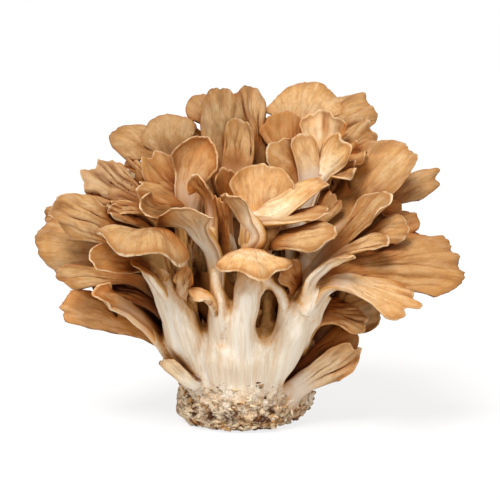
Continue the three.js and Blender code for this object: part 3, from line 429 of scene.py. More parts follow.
def drift(points, size, scale):
    """A smooth random push for each point, the same for neighbours, up to about size."""
    x, y, z = (points / scale).T
    return size * np.stack([smooth_noise(x + apart, y, z - apart) for apart in APART], -1)


def warp(points):
    """Points of the cluster, pushed about a little so that no line or oval stays exact."""
    pushed = points
    for size, scale in DRIFTS:
        pushed = pushed + drift(points, size, scale)
    return pushed


def along_spline(rows, per_step):
    """A smooth line through rows of numbers, with per_step points to each step."""
    rows = np.array(rows, float)
    padded = np.vstack([2 * rows[0] - rows[1], rows, 2 * rows[-1] - rows[-2]])
    share = np.linspace(0, 1, per_step, endpoint=False)[:, None]
    line = []
    for a, b, c, d in zip(padded, padded[1:], padded[2:], padded[3:]):
        line.append(0.5 * (2 * b + (c - a) * share + (2 * a - 5 * b + 4 * c - d) * share ** 2
                           + (3 * b - a - 3 * c + d) * share ** 3))
    return np.vstack([*line, rows[-1:]])


# ---------------------------------------------------------------- caps
SHEET_STEPS = 80  # steps along each ray of a cap while its curve is added up
LIP = 0.03  # the share of a cap's length over which its margin rounds off
LIP_ROWS = 4
SIDE_ROUNDNESS = 2.6  # the power of the oval that rounds a cap's sides
CLEFT_STRAY = 0.3  # how far a cleft between lobes strays from its even place, in lobes
CLEFT_DEPTHS = (0.5, 1.4)  # the least and the most of the depth that the cap states
CLEFT_SHARPNESS = 2.2
SCALLOPS = 0.035  # how far the margin's broad waves reach, as a share of the cap's length
SCALLOP_WAVES = 2.6
TEARS = [(0.012, 8, 4), (0.006, 19, 9)]  # how deep, how many on a cap of TEAR_WIDTH, and a seed
TEAR_WIDTH = 20
RUFFLE_GAIN = 1.6  # a ruffle's steepest slope for the one that the cap states
RUFFLE_ROWS = 1.1  # how many waves of a ruffle lie along a cap's length
RUFFLE_GROWTH = 1.3  # the power of the way out with which the ruffles grow
HEM_GROWTH = 1.5
CUP_END = 0.5  # the station by which a cup has its full slope
ROLL_START = 0.84  # the station at which the margin starts to bend back
THINNING_END = 0.45  # the station by which the stem's thickness has gone down to the flesh's
MARGIN_THINNING = 0.6  # how much of the flesh's thickness is gone at the margin
SECTION_POWERS = (2, 8)  # a stem's section is an oval, and a cap's is nearly a flat sheet
GRAIN_WIDTH = 0.6  # the grain's reach to each side, as a share of the cap's width
GRAIN_SEEDS = 400  # a cap's grain starts at a random place in the noise, from 0 to this
OPEN_WIDTH = 1.25  # how wide a cap is at its margin, as a share of its width, for the rim's sake
SIDE_STRETCH = 1.4  # makes the rim narrower at a cap's sides than at its end
FOLD_WANDER = 0.16  # how far the folds stray from straight rays
GROOVE_WIDTH = 0.13
SOFT_HEIGHT = 1.1  # the folds' soft waves and their grooves, for the pleat that the cap states
GROOVE_DEPTH = 0.45
LUMP_LENGTH = 7
LUMP_HEIGHT = 0.22
FINE_LUMPS = (0.4, 2.3)  # how high the finer lumps are, and how many come to each broad one
STEM_RISE = 0.4  # how much a stem turns upward as it leaves its stalk


def cap_frame(shape):
    """The cap's own directions, its bend in radians, and its length along the curve."""
    chord = np.subtract(shape["tip"], shape["neck"]).astype(float)
    length = np.linalg.norm(chord)
    ahead = chord / length
    face = np.array(shape["face"], float)
    up = unit(face - (face @ ahead) * ahead)
    aside = np.cross(up, ahead)
    bend = math.radians(shape["curl"])
    reach = length * (bend / 2) / math.sin(bend / 2) if bend else length
    return ahead, aside, up, bend, reach


def margin_reach(shape, rays, rng):
    """Each ray's share of the cap's length: rounded sides, lobes, scallops and a torn edge."""
    rounding = 1 - np.sqrt(np.clip(1 - np.abs(rays) ** SIDE_ROUNDNESS, 0, 1))
    share = 1 - shape["side"] * rounding + shape["skew"] * rays
    share = share * even_curve(shape["outline"], rays)
    count, depth = shape["lobes"]
    for k in range(1, count):
        cleft = -1 + 2 * (k + rng.uniform(-CLEFT_STRAY, CLEFT_STRAY)) / count
        deep = depth * rng.uniform(*CLEFT_DEPTHS)
        share = share - deep * np.exp(-np.abs(rays - cleft) * CLEFT_SHARPNESS * count)
    seed = rng.uniform(0, SEEDS)
    share = share + SCALLOPS * smooth_noise(rays * SCALLOP_WAVES, seed, 0)
    size = shape["width"] / TEAR_WIDTH
    for deep, many, place in TEARS:
        share = share + deep * smooth_noise(rays * many * size, seed, place)
    return share


def sheet_slope(shape, rays, share, rng):
    """How steeply the sheet rises at each step: its curl, its cup, its ruffles and its rolled lip."""
    bend = math.radians(shape["curl"])
    turned = math.radians(shape["spread"]) * rays
    cupped = math.radians(shape["cup"]) * np.sin(turned) ** 2 * smoothstep(0, CUP_END, share)
    waviness, waves = shape["ruffle"]
    steepest = math.radians(RUFFLE_GAIN * waviness)
    ruffles = steepest * smooth_noise(rays * waves, share * RUFFLE_ROWS, rng.uniform(0, SEEDS))
    ruffles = ruffles * share ** RUFFLE_GROWTH
    rolled = math.radians(shape["roll"]) * smoothstep(ROLL_START, 1, share)
    return bend / 2 - bend * share + cupped + ruffles - rolled


def cap_sheet(shape, stations, rays, rng):
    """The middle of a cap's flesh: a row of points for each station, from neck to margin."""
    ahead, aside, up, _, reach = cap_frame(shape)
    step = reach * margin_reach(shape, rays, rng) / SHEET_STEPS
    share = ((np.arange(SHEET_STEPS) + 0.5) / SHEET_STEPS)[:, None]
    heading = math.radians(shape["spread"]) * rays * smoothstep(0, shape["open"], share)
    slope = sheet_slope(shape, rays, share, rng)
    steps = (np.cos(heading) * np.cos(slope), np.sin(heading) * np.cos(slope), np.sin(slope))
    start = np.zeros((1, len(rays)))
    along, across, rise = (np.vstack([start, np.cumsum(part * step, 0)]) for part in steps)
    neck_width = shape["stem"][2]
    across = across * (shape["width"] - neck_width) / 2 / np.abs(across).max() + rays * neck_width / 2
    out = np.linspace(0, 1, SHEET_STEPS + 1)[:, None]
    twist = math.radians(shape["twist"]) * smoothstep(0, 1, out)
    rise = rise + even_curve(shape["hem"], rays) * out ** HEM_GROWTH + across * np.sin(twist)
    row = np.clip(stations * SHEET_STEPS, 0, SHEET_STEPS)
    low = np.minimum(row.astype(int), SHEET_STEPS - 1)
    part = (row - low)[:, None]
    along, across, rise = (lerp(way[low], way[low + 1], part)[..., None] for way in (along, across, rise))
    return np.array(shape["neck"], float) + along * ahead + across * aside + rise * up


def sheet_normals(points):
    return unit(np.cross(np.gradient(points, axis=0), np.gradient(points, axis=1)) + 1e-12)


def fold_heights(shape, stations, rays, rng):
    """How far the folds lift the sheet: soft waves out to the margin, and a few narrow grooves."""
    seed = rng.uniform(0, SEEDS)
    ray, station = np.meshgrid(rays, stations)
    wandering = ray + FOLD_WANDER * smooth_noise(ray * 1.8, station * 2.4, seed + 3)
    soft = smooth_noise(wandering * shape["folds"], station * 1.3, seed)
    crossing = smooth_noise(wandering * shape["folds"] * 0.8, station * 0.9, seed + 7)
    groove = np.exp(-(crossing / GROOVE_WIDTH) ** 2)
    across = ray * shape["width"] / LUMP_LENGTH
    out = station * cap_frame(shape)[4] / LUMP_LENGTH
    height, finer = FINE_LUMPS
    lumps = smooth_noise(across, out, seed + 11)
    lumps = lumps + height * smooth_noise(across * finer, out * finer, seed + 17)
    grows = smoothstep(0.02, 0.5, station) * (1 - 0.3 * smoothstep(0.8, 1, station))
    grows = grows * (1 - np.abs(ray) ** 6)
    fading = 1 - 0.6 * smoothstep(0.5, 1, station)
    folds = SOFT_HEIGHT * soft - GROOVE_DEPTH * groove * fading
    return (shape["pleat"] * folds + LUMP_HEIGHT * lumps) * grows


def stem_sheet(shape, rays, count):
    """The stem's middle and half-thickness, one row for each of its stations from foot to neck."""
    ahead, aside, up, bend, _ = cap_frame(shape)
    foot, neck = np.array(shape["foot"], float), np.array(shape["neck"], float)
    foot_width, foot_depth, neck_width, neck_depth = shape["stem"]
    third = np.linalg.norm(neck - foot) / 3
    leave = foot + unit(unit(neck - foot) + np.array([0, 0, STEM_RISE])) * third
    arrive = neck - unit(math.cos(bend / 2) * ahead + math.sin(bend / 2) * up) * third
    share = np.linspace(0, 1, count + 1)[:-1, None]
    line = ((1 - share) ** 3 * foot + 3 * share * (1 - share) ** 2 * leave
            + 3 * share ** 2 * (1 - share) * arrive + share ** 3 * neck)
    heading = unit(3 * (1 - share) ** 2 * (leave - foot) + 6 * share * (1 - share) * (arrive - leave)
                   + 3 * share ** 2 * (neck - arrive))
    wide = unit(aside - (heading @ aside)[:, None] * heading)
    deep = np.cross(heading, wide)
    half_width = lerp(foot_width, neck_width, share)[..., None] / 2
    half_depth = lerp(foot_depth, neck_depth, share)[..., None] / 2
    middle = line[:, None] + wide[:, None] * half_width * rays[None, :, None]
    offset = deep[:, None] * half_depth * np.sqrt(np.clip(1 - rays ** 2, 0, 1))[None, :, None]
    return middle, offset, share[:, 0]


def cap_layers(shape, name, columns, rows, stem_rows):
    """A cap with its stem, in rows: middle points, offsets to the face and fold heights.

    After them come each row's station, below 0 on the stem, and the rays from side to side.
    """
    rng = random.Random(name)
    even = np.linspace(-1, 1, columns)
    rays = 0.5 * even + 0.5 * np.sin(np.pi * even / 2)
    angle = np.linspace(0, math.pi / 2, LIP_ROWS + 1)[1:]
    stations = np.concatenate([np.linspace(0, 1 - LIP, rows + 1), 1 - LIP + LIP * np.sin(angle)])
    rounding = np.concatenate([np.ones(rows + 1), np.cos(angle)])
    middle = cap_sheet(shape, stations, rays, rng)
    folds = fold_heights(shape, stations, rays, rng)
    middle = middle + sheet_normals(middle) * folds[..., None]
    thinning = smoothstep(0, THINNING_END, stations)
    power = lerp(*SECTION_POWERS, thinning[:, None])
    across = np.sqrt(np.clip(1 - np.abs(rays) ** power, 0, 1))
    half = lerp(shape["stem"][3], FLESH_THICKNESS, thinning) / 2
    half = half * (1 - MARGIN_THINNING * smoothstep(0.5, 1, stations)) * rounding
    offset = sheet_normals(middle) * (half[:, None] * across)[..., None]
    stem_middle, stem_offset, share = stem_sheet(shape, rays, stem_rows)
    folds = np.concatenate([np.zeros(stem_middle.shape[:2]), folds])
    return (np.concatenate([stem_middle, middle]), np.concatenate([stem_offset, offset]), folds,
            np.concatenate([share - 1, stations]), rays)


def wrapped(face, pores):
    """Rows of values round a cap's loops: across its pores, and back across its face."""
    return np.concatenate([pores, face[:, 1:-1][:, ::-1]], axis=1)


def loop_faces(rows, count):
    """Quads between loops of count points, with the first and last loops closed straight across."""
    j = np.arange(count)
    after = (j + 1) % count
    start = (np.arange(rows - 1) * count)[:, None]
    sides = np.stack([start + j, start + after, start + count + after, start + count + j], -1)
    half = np.arange(count // 2)
    strip = np.stack([half, half + 1, (count - half - 1) % count, (count - half) % count], -1)
    closed = np.concatenate([sides.reshape(-1, 4), strip[:, ::-1], strip + (rows - 1) * count])
    return [list(dict.fromkeys(face)) for face in closed.tolist()]


def cap_values(shape, stations, rays):
    """Each point's station, place in the fibres' grain, distance to the margin, and colouring."""
    reach = cap_frame(shape)[4]
    seed = random.Random(f"{shape['neck']}").uniform(0, GRAIN_SEEDS)
    station, ray = np.meshgrid(stations, rays, indexing="ij")
    spread = lerp(shape["stem"][2], shape["width"] * OPEN_WIDTH, smoothstep(0, 1, station)) / 2
    edge = np.minimum((1 - station) * reach, (1 - np.abs(ray)) * spread * SIDE_STRETCH)
    grain = np.stack([ray * shape["width"] * GRAIN_WIDTH, station * reach, np.full(ray.shape, seed)], -1)
    tint = np.broadcast_to([shape["tone"], shape["warm"], shape["grey"]], (*ray.shape, 3))
    rim = np.full(ray.shape, float(shape["rim"]))
    return {"station": station, "grain": grain, "edge": edge, "tint": tint, "rim": rim}


def cap_mesh(shape, name, shade_of, columns, rows, stem_rows):
    """Points, faces and attributes of a cap and its stem."""
    middle, offset, folds, stations, rays = cap_layers(shape, name, columns, rows, stem_rows)
    points = wrapped(middle + offset, middle - offset)
    count = points.shape[1]
    values = {key: wrapped(value, value) for key, value in cap_values(shape, stations, rays).items()}
    values["face"] = wrapped(np.ones(middle.shape[:2]), np.zeros(middle.shape[:2]))
    values["fold"] = wrapped(folds, -folds)
    values["shade"] = wrapped(*shade_of(shape, name, len(stations), len(rays)))
    points = warp(points.reshape(-1, 3))
    flat = {key: value.reshape(len(points), -1) for key, value in values.items()}
    return points, loop_faces(len(stations), count), flat


def rosette_caps(azimuth, foot, radius, height, reach, width):
    """A rosette's caps, fanning out from one stem."""
    angle = math.radians(azimuth)
    outward = np.array([math.cos(angle), math.sin(angle), 0])
    sideways = np.array([-math.sin(angle), math.cos(angle), 0])
    above = np.array([0, 0, 1])
    caps = []
    for row in ROSETTE_CAPS:
        neck = (outward * (radius - row["back"]) + sideways * row["aside"]
                + above * (height + row["lift"]))
        growth = unit(outward * row["out"] + sideways * row["along"] + above * row["up"]) * reach
        caps.append(cap(foot, tuple(neck), tuple(neck + growth), (outward[0], outward[1], 0.5),
                        width * row["size"], 54, side=0.3, curl=22, ruffle=(9, 2.4), lobes=(4, 0.08),
                        pleat=0.4, tone=0.1))
    return caps


# ---------------------------------------------------------------- trunk
STALK_END = 0.6  # a stalk's last oval shrinks to this share, so that the stems on it cover it
SKIN_VOXEL = 0.95
SKIN_SMOOTHING = 9  # rounds of smoothing, which make the joined parts flow into each other
CORE_END = 0.9  # the share of a stem that is part of the fused skin
CORE_SIZES = (1.2, 0.8)  # its size at the foot and at its end, as shares of the stem's
GRAIN_ROOT = np.array([0.0, 2.0, -40.0])  # the point that the trunk's fibres run out from
GRAIN_RADIUS = 85
# The trunk's relief: height, and length along X, Y and Z.
RIDGES = (0.5, (4.5, 4.5, 55))
FIBRES = (0.2, (1.5, 1.5, 26))
LUMPS = (0.35, (9, 9, 9))
CRUST = (0.75, (2.6, 2.6, 2.0))
GRIT = (0.35, (1.1, 1.1, 0.9))
CRUST_FADES = (10, 24)  # the heights between which the foot's crust fades out
RIDGES_RISE = (22, 46)  # the heights between which the ridges and fibres rise to their full size
CALM_SHARE = 0.85  # how much of the ridges and fibres is missing below them
TRUNK_CLEARANCE = 0.4  # how far the trunk stays above the floor
CORE_THIN = 0.85  # the share of a stem over which its fused part thins
# The butt's knobs: how far they stand out, how many, how they lean, and where they start.
KNOBS = [(0.04, 3, 0.1, 0), (0.03, 5, 0, 1)]


def tube(rows, sides=16, per_step=7):
    """Points and faces of a closed oval tube along rows of x, y, z, half width and half depth."""
    line = along_spline(rows, per_step)
    centre = line[:, :3]
    heading = unit(np.gradient(centre, axis=0))
    wide = unit(np.array([1.0, 0, 0]) - heading[:, :1] * heading)
    deep = np.cross(heading, wide)
    angle = np.linspace(0, 2 * math.pi, sides, endpoint=False)
    rings = (centre[:, None] + wide[:, None] * (line[:, 3:4] * np.cos(angle))[..., None]
             + deep[:, None] * (line[:, 4:5] * np.sin(angle))[..., None])
    return rings.reshape(-1, 3), loop_faces(len(line), sides)


def stem_core(shape, sides=12, stations=8):
    """The part of a stem that has grown together with the trunk: flared at its foot, thin at its end."""
    even = np.linspace(-1, 1, sides // 2 + 1)
    rays = np.sin(np.pi * even / 2)
    middle, offset, share = stem_sheet(shape, rays, stations)
    kept = share < CORE_END
    middle, offset, share = middle[kept], offset[kept], share[kept]
    centre = middle[:, len(rays) // 2][:, None]
    size = lerp(*CORE_SIZES, smoothstep(0, CORE_THIN, share))[:, None, None]
    points = wrapped(centre + (middle + offset - centre) * size, centre + (middle - offset - centre) * size)
    return points.reshape(-1, 3), loop_faces(len(share), points.shape[1])


def butt_tube(sides=40):
    """The butt as a stack of ovals with a knobbly outline."""
    angle = np.linspace(0, 2 * math.pi, sides, endpoint=False)
    rings = []
    for height, wide, deep, x, y in along_spline(BUTT, 4):
        knobbly = 1
        for size, count, lean, start in KNOBS:
            knobbly = knobbly + size * np.sin(count * angle + lean * height + start)
        rings.append(np.stack([x + wide * knobbly * np.cos(angle), y + deep * knobbly * np.sin(angle),
                               np.full(sides, height)], -1))
    return np.vstack(rings), loop_faces(len(rings), sides)


def joined(parts):
    """Several lots of points and faces as one."""
    points, faces, start = [], [], 0
    for some_points, some_faces in parts:
        points.append(some_points)
        faces += [[start + k for k in face] for face in some_faces]
        start += len(some_points)
    return np.vstack(points), faces


def fused(name, parts):
    """One skin round all the parts, smoothed so that they flow into each other."""
    rough = new_object(name + "_rough", *joined(parts))
    remesh = rough.modifiers.new("skin", "REMESH")
    remesh.mode = "VOXEL"
    remesh.voxel_size = SKIN_VOXEL * MM
    smooth = rough.modifiers.new("flow", "SMOOTH")
    smooth.factor = 0.5
    smooth.iterations = SKIN_SMOOTHING
    bpy.context.view_layer.update()
    graph = bpy.context.evaluated_depsgraph_get()
    mesh = bpy.data.meshes.new_from_object(rough.evaluated_get(graph))
    bpy.data.objects.remove(rough)
    piece = bpy.data.objects.new(name, mesh)
    bpy.context.scene.collection.objects.link(piece)
    return piece


def trunk_grain(points):
    """Each point's place in the trunk's grain, in mm: two steps across the fibres, one along them."""
    away = points - GRAIN_ROOT
    distance = np.linalg.norm(away, axis=1, keepdims=True)
    across = away / distance * GRAIN_RADIUS
    return np.hstack([across[:, :2], distance])


def trunk_relief(points):
    """How far the trunk's skin stands out: ridges along the fibres, soft lumps, and a crusty foot."""
    grain = trunk_grain(points)
    ridges = RIDGES[0] * noise_of_length(grain, RIDGES[1])
    fibres = FIBRES[0] * noise_of_length(grain, FIBRES[1], apart=9)
    lumps, crust, grit = (height * noise_of_length(points, lengths)
                          for height, lengths in (LUMPS, CRUST, GRIT))
    low = 1 - smoothstep(*CRUST_FADES, points[:, 2])
    calm = 1 - smoothstep(*RIDGES_RISE, points[:, 2])
    return (ridges + fibres) * (1 - CALM_SHARE * calm) + lumps + low * (crust + grit)


def thin_ended(way):
    """A stalk's ovals with the last one shrunk, so that the stems on it cover its end."""
    *rest, (x, y, z, wide, deep) = way
    return [*rest, (x, y, z, wide * STALK_END, deep * STALK_END)]


def trunk(shapes, shade_at):
    """The butt, the stalks and the feet of the fronds' stems, grown together."""
    parts = [butt_tube(), *(tube(thin_ended(way)) for way in [*STALKS.values(), *WEBS])]
    parts += [stem_core(shape) for shape in shapes]
    piece = fused("trunk", [(warp(points), faces) for points, faces in parts])
    points, normals = surface(piece)
    points = points + normals * trunk_relief(points)[:, None]
    points[:, 2] = np.maximum(points[:, 2], TRUNK_CLEARANCE)
    piece.data.vertices.foreach_set("co", (points * MM).ravel())
    piece.data.update()
    points, normals = surface(piece)
    put_values(piece, {"grain": trunk_grain(points), "shade": shade_at(points, normals)[:, None]})
    return piece


# ---------------------------------------------------------------- substrate
CRUMB_COUNT = 1500
CRUMB_SIZES = (0.3, 0.95)  # the least size in mm, and how much the largest adds to it
CRUMB_SHAPE = [(0.7, 1.9), (0.4, 0.9), (0.2, 0.42)]  # its length, width and height for its size
CRUMB_REACH = 21  # how high the crumbs climb over the trunk's foot
CRUMB_LOWNESS = 1.7  # the power that keeps most of them low
CRUMB_LUMPS = (1.3, 0.45)  # how fine and how high the lumps of a crumb are
CRUMB_TURNS = (0.4, 0.5)  # about how far a crumb spins, and how far it leans at most, in radians
CRUMB_THINNING = (12, 22)  # the heights between which the crumbs get smaller
LOWEST_HIT = 0.6  # crumbs lie on the trunk from this height up
OUTSIDE = 60  # far enough from the trunk's middle to be clear of it
BUTT_MIDDLE = -3  # along Y
# The plug's dark brown is its own dark substrate and partly painted contact shade under the butt.
PLUG_SOIL_AND_SHADE = 0.3
CRUMBS_ANYWHERE = 0.16  # how thick crumbs lie outside the patches, from 0 to 1
CRUMBS_AT_FLOOR = 0.3  # how much thicker they lie there at the floor
# Where the crumbs lie thick: azimuth, height, how far the patch reaches in each, and how dark its
# crumbs are.
CRUMB_PATCHES = [
    (242, 19, 26, 2.6, 0.6), (240, 8, 26, 4.5, 1.0), (297, 7, 18, 4, 0.8), (283, 19, 20, 4, 0.3),
    (205, 12, 20, 7, 0.4), (90, 9, 40, 5, 0.7), (150, 16, 25, 5, 0.5), (30, 12, 25, 5, 0.6),
]
# The plug's roughness: height, and length round it and upwards.
PLUG_BUMPS = [(1.3, 6, 5), (0.8, 2.2, 2), (0.3, 1, 1)]


def ball_mesh(subdivisions):
    """A sphere of triangles as points and faces."""
    shell = bmesh.new()
    bmesh.ops.create_icosphere(shell, subdivisions=subdivisions, radius=1)
    points = np.array([v.co for v in shell.verts])
    faces = [[v.index for v in face.verts] for face in shell.faces]
    shell.free()
    return points, faces


def rotation(spin, lean):
    """A turn about Z by spin after a lean about X."""
    cos_spin, sin_spin = math.cos(spin), math.sin(spin)
    cos_lean, sin_lean = math.cos(lean), math.sin(lean)
    about_z = np.array([[cos_spin, -sin_spin, 0], [sin_spin, cos_spin, 0], [0, 0, 1]])
    about_x = np.array([[1, 0, 0], [0, cos_lean, -sin_lean], [0, sin_lean, cos_lean]])
    return about_z @ about_x


def crumb(ball, rng, centre, outward, size):
    """An angular chip of bark or grain, lying against the crust: a ball's points pushed about."""
    squeeze = np.array([rng.uniform(*span) for span in CRUMB_SHAPE])
    fineness, height = CRUMB_LUMPS
    x, y, z = (ball * fineness).T
    lumps = 1 + height * smooth_noise(x, y, z + rng.uniform(0, 99))
    turn = Vector(outward).to_track_quat("Z", "Y").to_matrix()
    spread, most = CRUMB_TURNS
    spin = rng.gauss(0, spread)
    lean = rng.uniform(-most, most)
    points = ball * squeeze * lumps[:, None] * size
    return centre + points @ rotation(spin, lean).T @ np.array(turn).T


def crumb_patch(azimuth, height):
    """How thick the crumbs lie at a place of the crust, and how dark they are."""
    thick, darkness = CRUMBS_ANYWHERE + CRUMBS_AT_FLOOR * float(smoothstep(7, 2, height)), 0.15
    for middle, level, wide, high, dark in CRUMB_PATCHES:
        around = (math.degrees(azimuth) - middle + 180) % 360 - 180
        near = math.exp(-((around / wide) ** 2) - ((height - level) / high) ** 2)
        thick = max(thick, near)
        darkness = max(darkness, dark * near)
    return thick * (1.15 - height / 30), darkness


def crumbs(skin):
    """Crumbs over the foot of the trunk, most of them low down and to the left of the front."""
    rng = random.Random("crumbs")
    ball, ball_faces = ball_mesh(2)
    parts, brightness = [], []
    while len(parts) < CRUMB_COUNT:
        azimuth = rng.uniform(0, 2 * math.pi)
        height = 1 + CRUMB_REACH * rng.random() ** CRUMB_LOWNESS
        facing = np.array([math.cos(azimuth), math.sin(azimuth), 0])
        thick, darkness = crumb_patch(azimuth, height)
        if rng.random() > thick:
            continue
        start = np.array([0, BUTT_MIDDLE, height]) + facing * OUTSIDE
        hit, normal, _, _ = skin.ray_cast(Vector(start), Vector(-facing))
        if hit is None or hit.z < LOWEST_HIT:
            continue
        size = CRUMB_SIZES[0] + CRUMB_SIZES[1] * rng.random() ** 2
        size = size * (1 + 0.5 * darkness) * (1 - 0.5 * smoothstep(*CRUMB_THINNING, height))
        points = crumb(ball, rng, np.array(hit) + 0.05 * size * np.array(normal), normal, size)
        parts.append((points, ball_faces))
        bright = float(np.clip(rng.random() * 1.25 - 0.75 * darkness, 0, 1))
        brightness.append(np.full((len(points), 1), bright))
    points, faces = joined(parts)
    points[:, 2] = np.maximum(points[:, 2], 0.05)
    return points, faces, np.vstack(brightness)


def plug(sides=180, per_step=6):
    """The crusty plug under the butt: lumpy sides over a flat underside."""
    angle = np.linspace(0, 2 * math.pi, sides, endpoint=False)
    rings = []
    for height, wide, deep, centre in along_spline(PLUG, per_step):
        x, y = wide * np.cos(angle), deep * np.sin(angle)
        rough = sum(bump * smooth_noise(x / length, y / length, height / tall)
                    for bump, length, tall in PLUG_BUMPS)
        grown = 1 + rough * 0.6 / wide * smoothstep(0, 1.5, height)
        rings.append(np.stack([centre + x * grown, y * grown - PLUG_FORWARD, np.full(sides, height)], -1))
    points = np.vstack(rings)
    points[:, 2] = np.maximum(points[:, 2], 0)
    return points, loop_faces(len(rings), sides)


# ---------------------------------------------------------------- shade
SHADE_RAYS = 14
SHADE_REACH = 26  # a neighbour this far off no longer darkens
SHADE_LIFT = 0.6  # how far above the flesh the rays start
LOWEST_RAY = 0.12  # how steeply the lowest rays rise, for 1 straight up
STEP_PAST = 0.01  # how far a ray is moved on past a face that it has met
COARSE = (15, 12, 5)  # columns, rows and stem rows of the caps that shade is worked out on


def spread_directions(count):
    """Directions spread evenly over the half space above z = 0."""
    k = np.arange(count)
    height = LOWEST_RAY + (1 - LOWEST_RAY) * (k + 0.5) / count
    angle = k * math.pi * (3 - math.sqrt(5))
    flat = np.sqrt(1 - height ** 2)
    return np.stack([flat * np.cos(angle), flat * np.sin(angle), height], -1)


def free_way(skin, start, direction):
    """How far a ray runs before it meets flesh from outside; it leaves flesh that it starts in freely."""
    gone = 0.0
    while gone < SHADE_REACH:
        _, normal, _, far = skin.ray_cast(start, direction, SHADE_REACH - gone)
        if far is None:
            return SHADE_REACH
        gone += far + STEP_PAST
        if normal.dot(direction) < 0:
            return gone
        start = start + direction * (far + STEP_PAST)
    return SHADE_REACH


def shade_finder(skin):
    """A function that gives how deep in the cluster points lie: 0 in the open, 1 in solid flesh."""
    directions = [Vector(d) for d in spread_directions(SHADE_RAYS)]

    def shade_at(points, normals):
        found = np.empty(len(points))
        for k, (point, normal) in enumerate(zip(points, normals)):
            outward = Vector(normal)
            turn = outward.to_track_quat("Z", "Y").to_matrix()
            start = Vector(point) + outward * SHADE_LIFT
            total = 0.0
            for direction in directions:
                far = free_way(skin, start, turn @ direction)
                if far < SHADE_REACH:
                    total += 1 - 0.5 * far / SHADE_REACH
            found[k] = total / SHADE_RAYS
        return found

    return shade_at


def resized(grid, rows, columns):
    """A grid of values with more rows and columns between the ones that it has."""
    for axis, count in ((0, rows), (1, columns)):
        place = np.linspace(0, grid.shape[axis] - 1, count)
        low = np.minimum(place.astype(int), grid.shape[axis] - 2)
        part = (place - low).reshape([-1, 1] if axis == 0 else [1, -1])
        grid = lerp(np.take(grid, low, axis), np.take(grid, low + 1, axis), part)
    return grid


def cap_shades(shape, name, shade_at):
    """Grids of shade over a cap's face and its pores, from foot to margin."""
    middle, offset, *_ = cap_layers(shape, name, *COARSE)
    normals = sheet_normals(middle)
    grids = []
    for side in (1, -1):
        points = warp((middle + side * offset).reshape(-1, 3))
        grids.append(shade_at(points, side * normals.reshape(-1, 3)).reshape(middle.shape[:2]))
    return grids


def coarse_cluster(named_caps):
    """The whole cluster in few faces, for working out its shade."""
    parts = [butt_tube(sides=24)]
    parts += [tube(way, sides=10, per_step=3) for way in [*STALKS.values(), *WEBS]]
    for name, shape in named_caps:
        middle, offset, _, stations, _ = cap_layers(shape, name, *COARSE)
        points = wrapped(middle + offset, middle - offset)
        parts.append((points.reshape(-1, 3), loop_faces(len(stations), points.shape[1])))
    points, faces = joined(parts)
    return BVHTree.FromPolygons([Vector(p) for p in warp(points)], faces)


# ---------------------------------------------------------------- objects
def new_object(name, points, faces):
    mesh = bpy.data.meshes.new(name)
    mesh.from_pydata((np.asarray(points) * MM).tolist(), [], faces)
    mesh.polygons.foreach_set("use_smooth", [True] * len(mesh.polygons))
    piece = bpy.data.objects.new(name, mesh)
    bpy.context.scene.collection.objects.link(piece)
    return piece


def surface(piece):
    """A piece's points, in mm, and their normals."""
    count = len(piece.data.vertices)
    points, normals = np.empty(3 * count), np.empty(3 * count)
    piece.data.vertices.foreach_get("co", points)
    piece.data.vertices.foreach_get("normal", normals)
    return points.reshape(-1, 3) / MM, normals.reshape(-1, 3)


def put_values(piece, values):
    """Writes each named lot of values as an attribute of the piece's points."""
    for key, value in values.items():
        kind, field = ("FLOAT_VECTOR", "vector") if value.shape[1] == 3 else ("FLOAT", "value")
        attribute = piece.data.attributes.new(key, kind, "POINT")
        attribute.data.foreach_set(field, value.astype(np.float32).ravel())


def claim(piece, material, nodes):
    """Gives a piece its finish and its place in the frame."""
    piece.data.materials.clear()
    piece.data.materials.append(material)
    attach(piece, "root")
    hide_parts(*nodes)


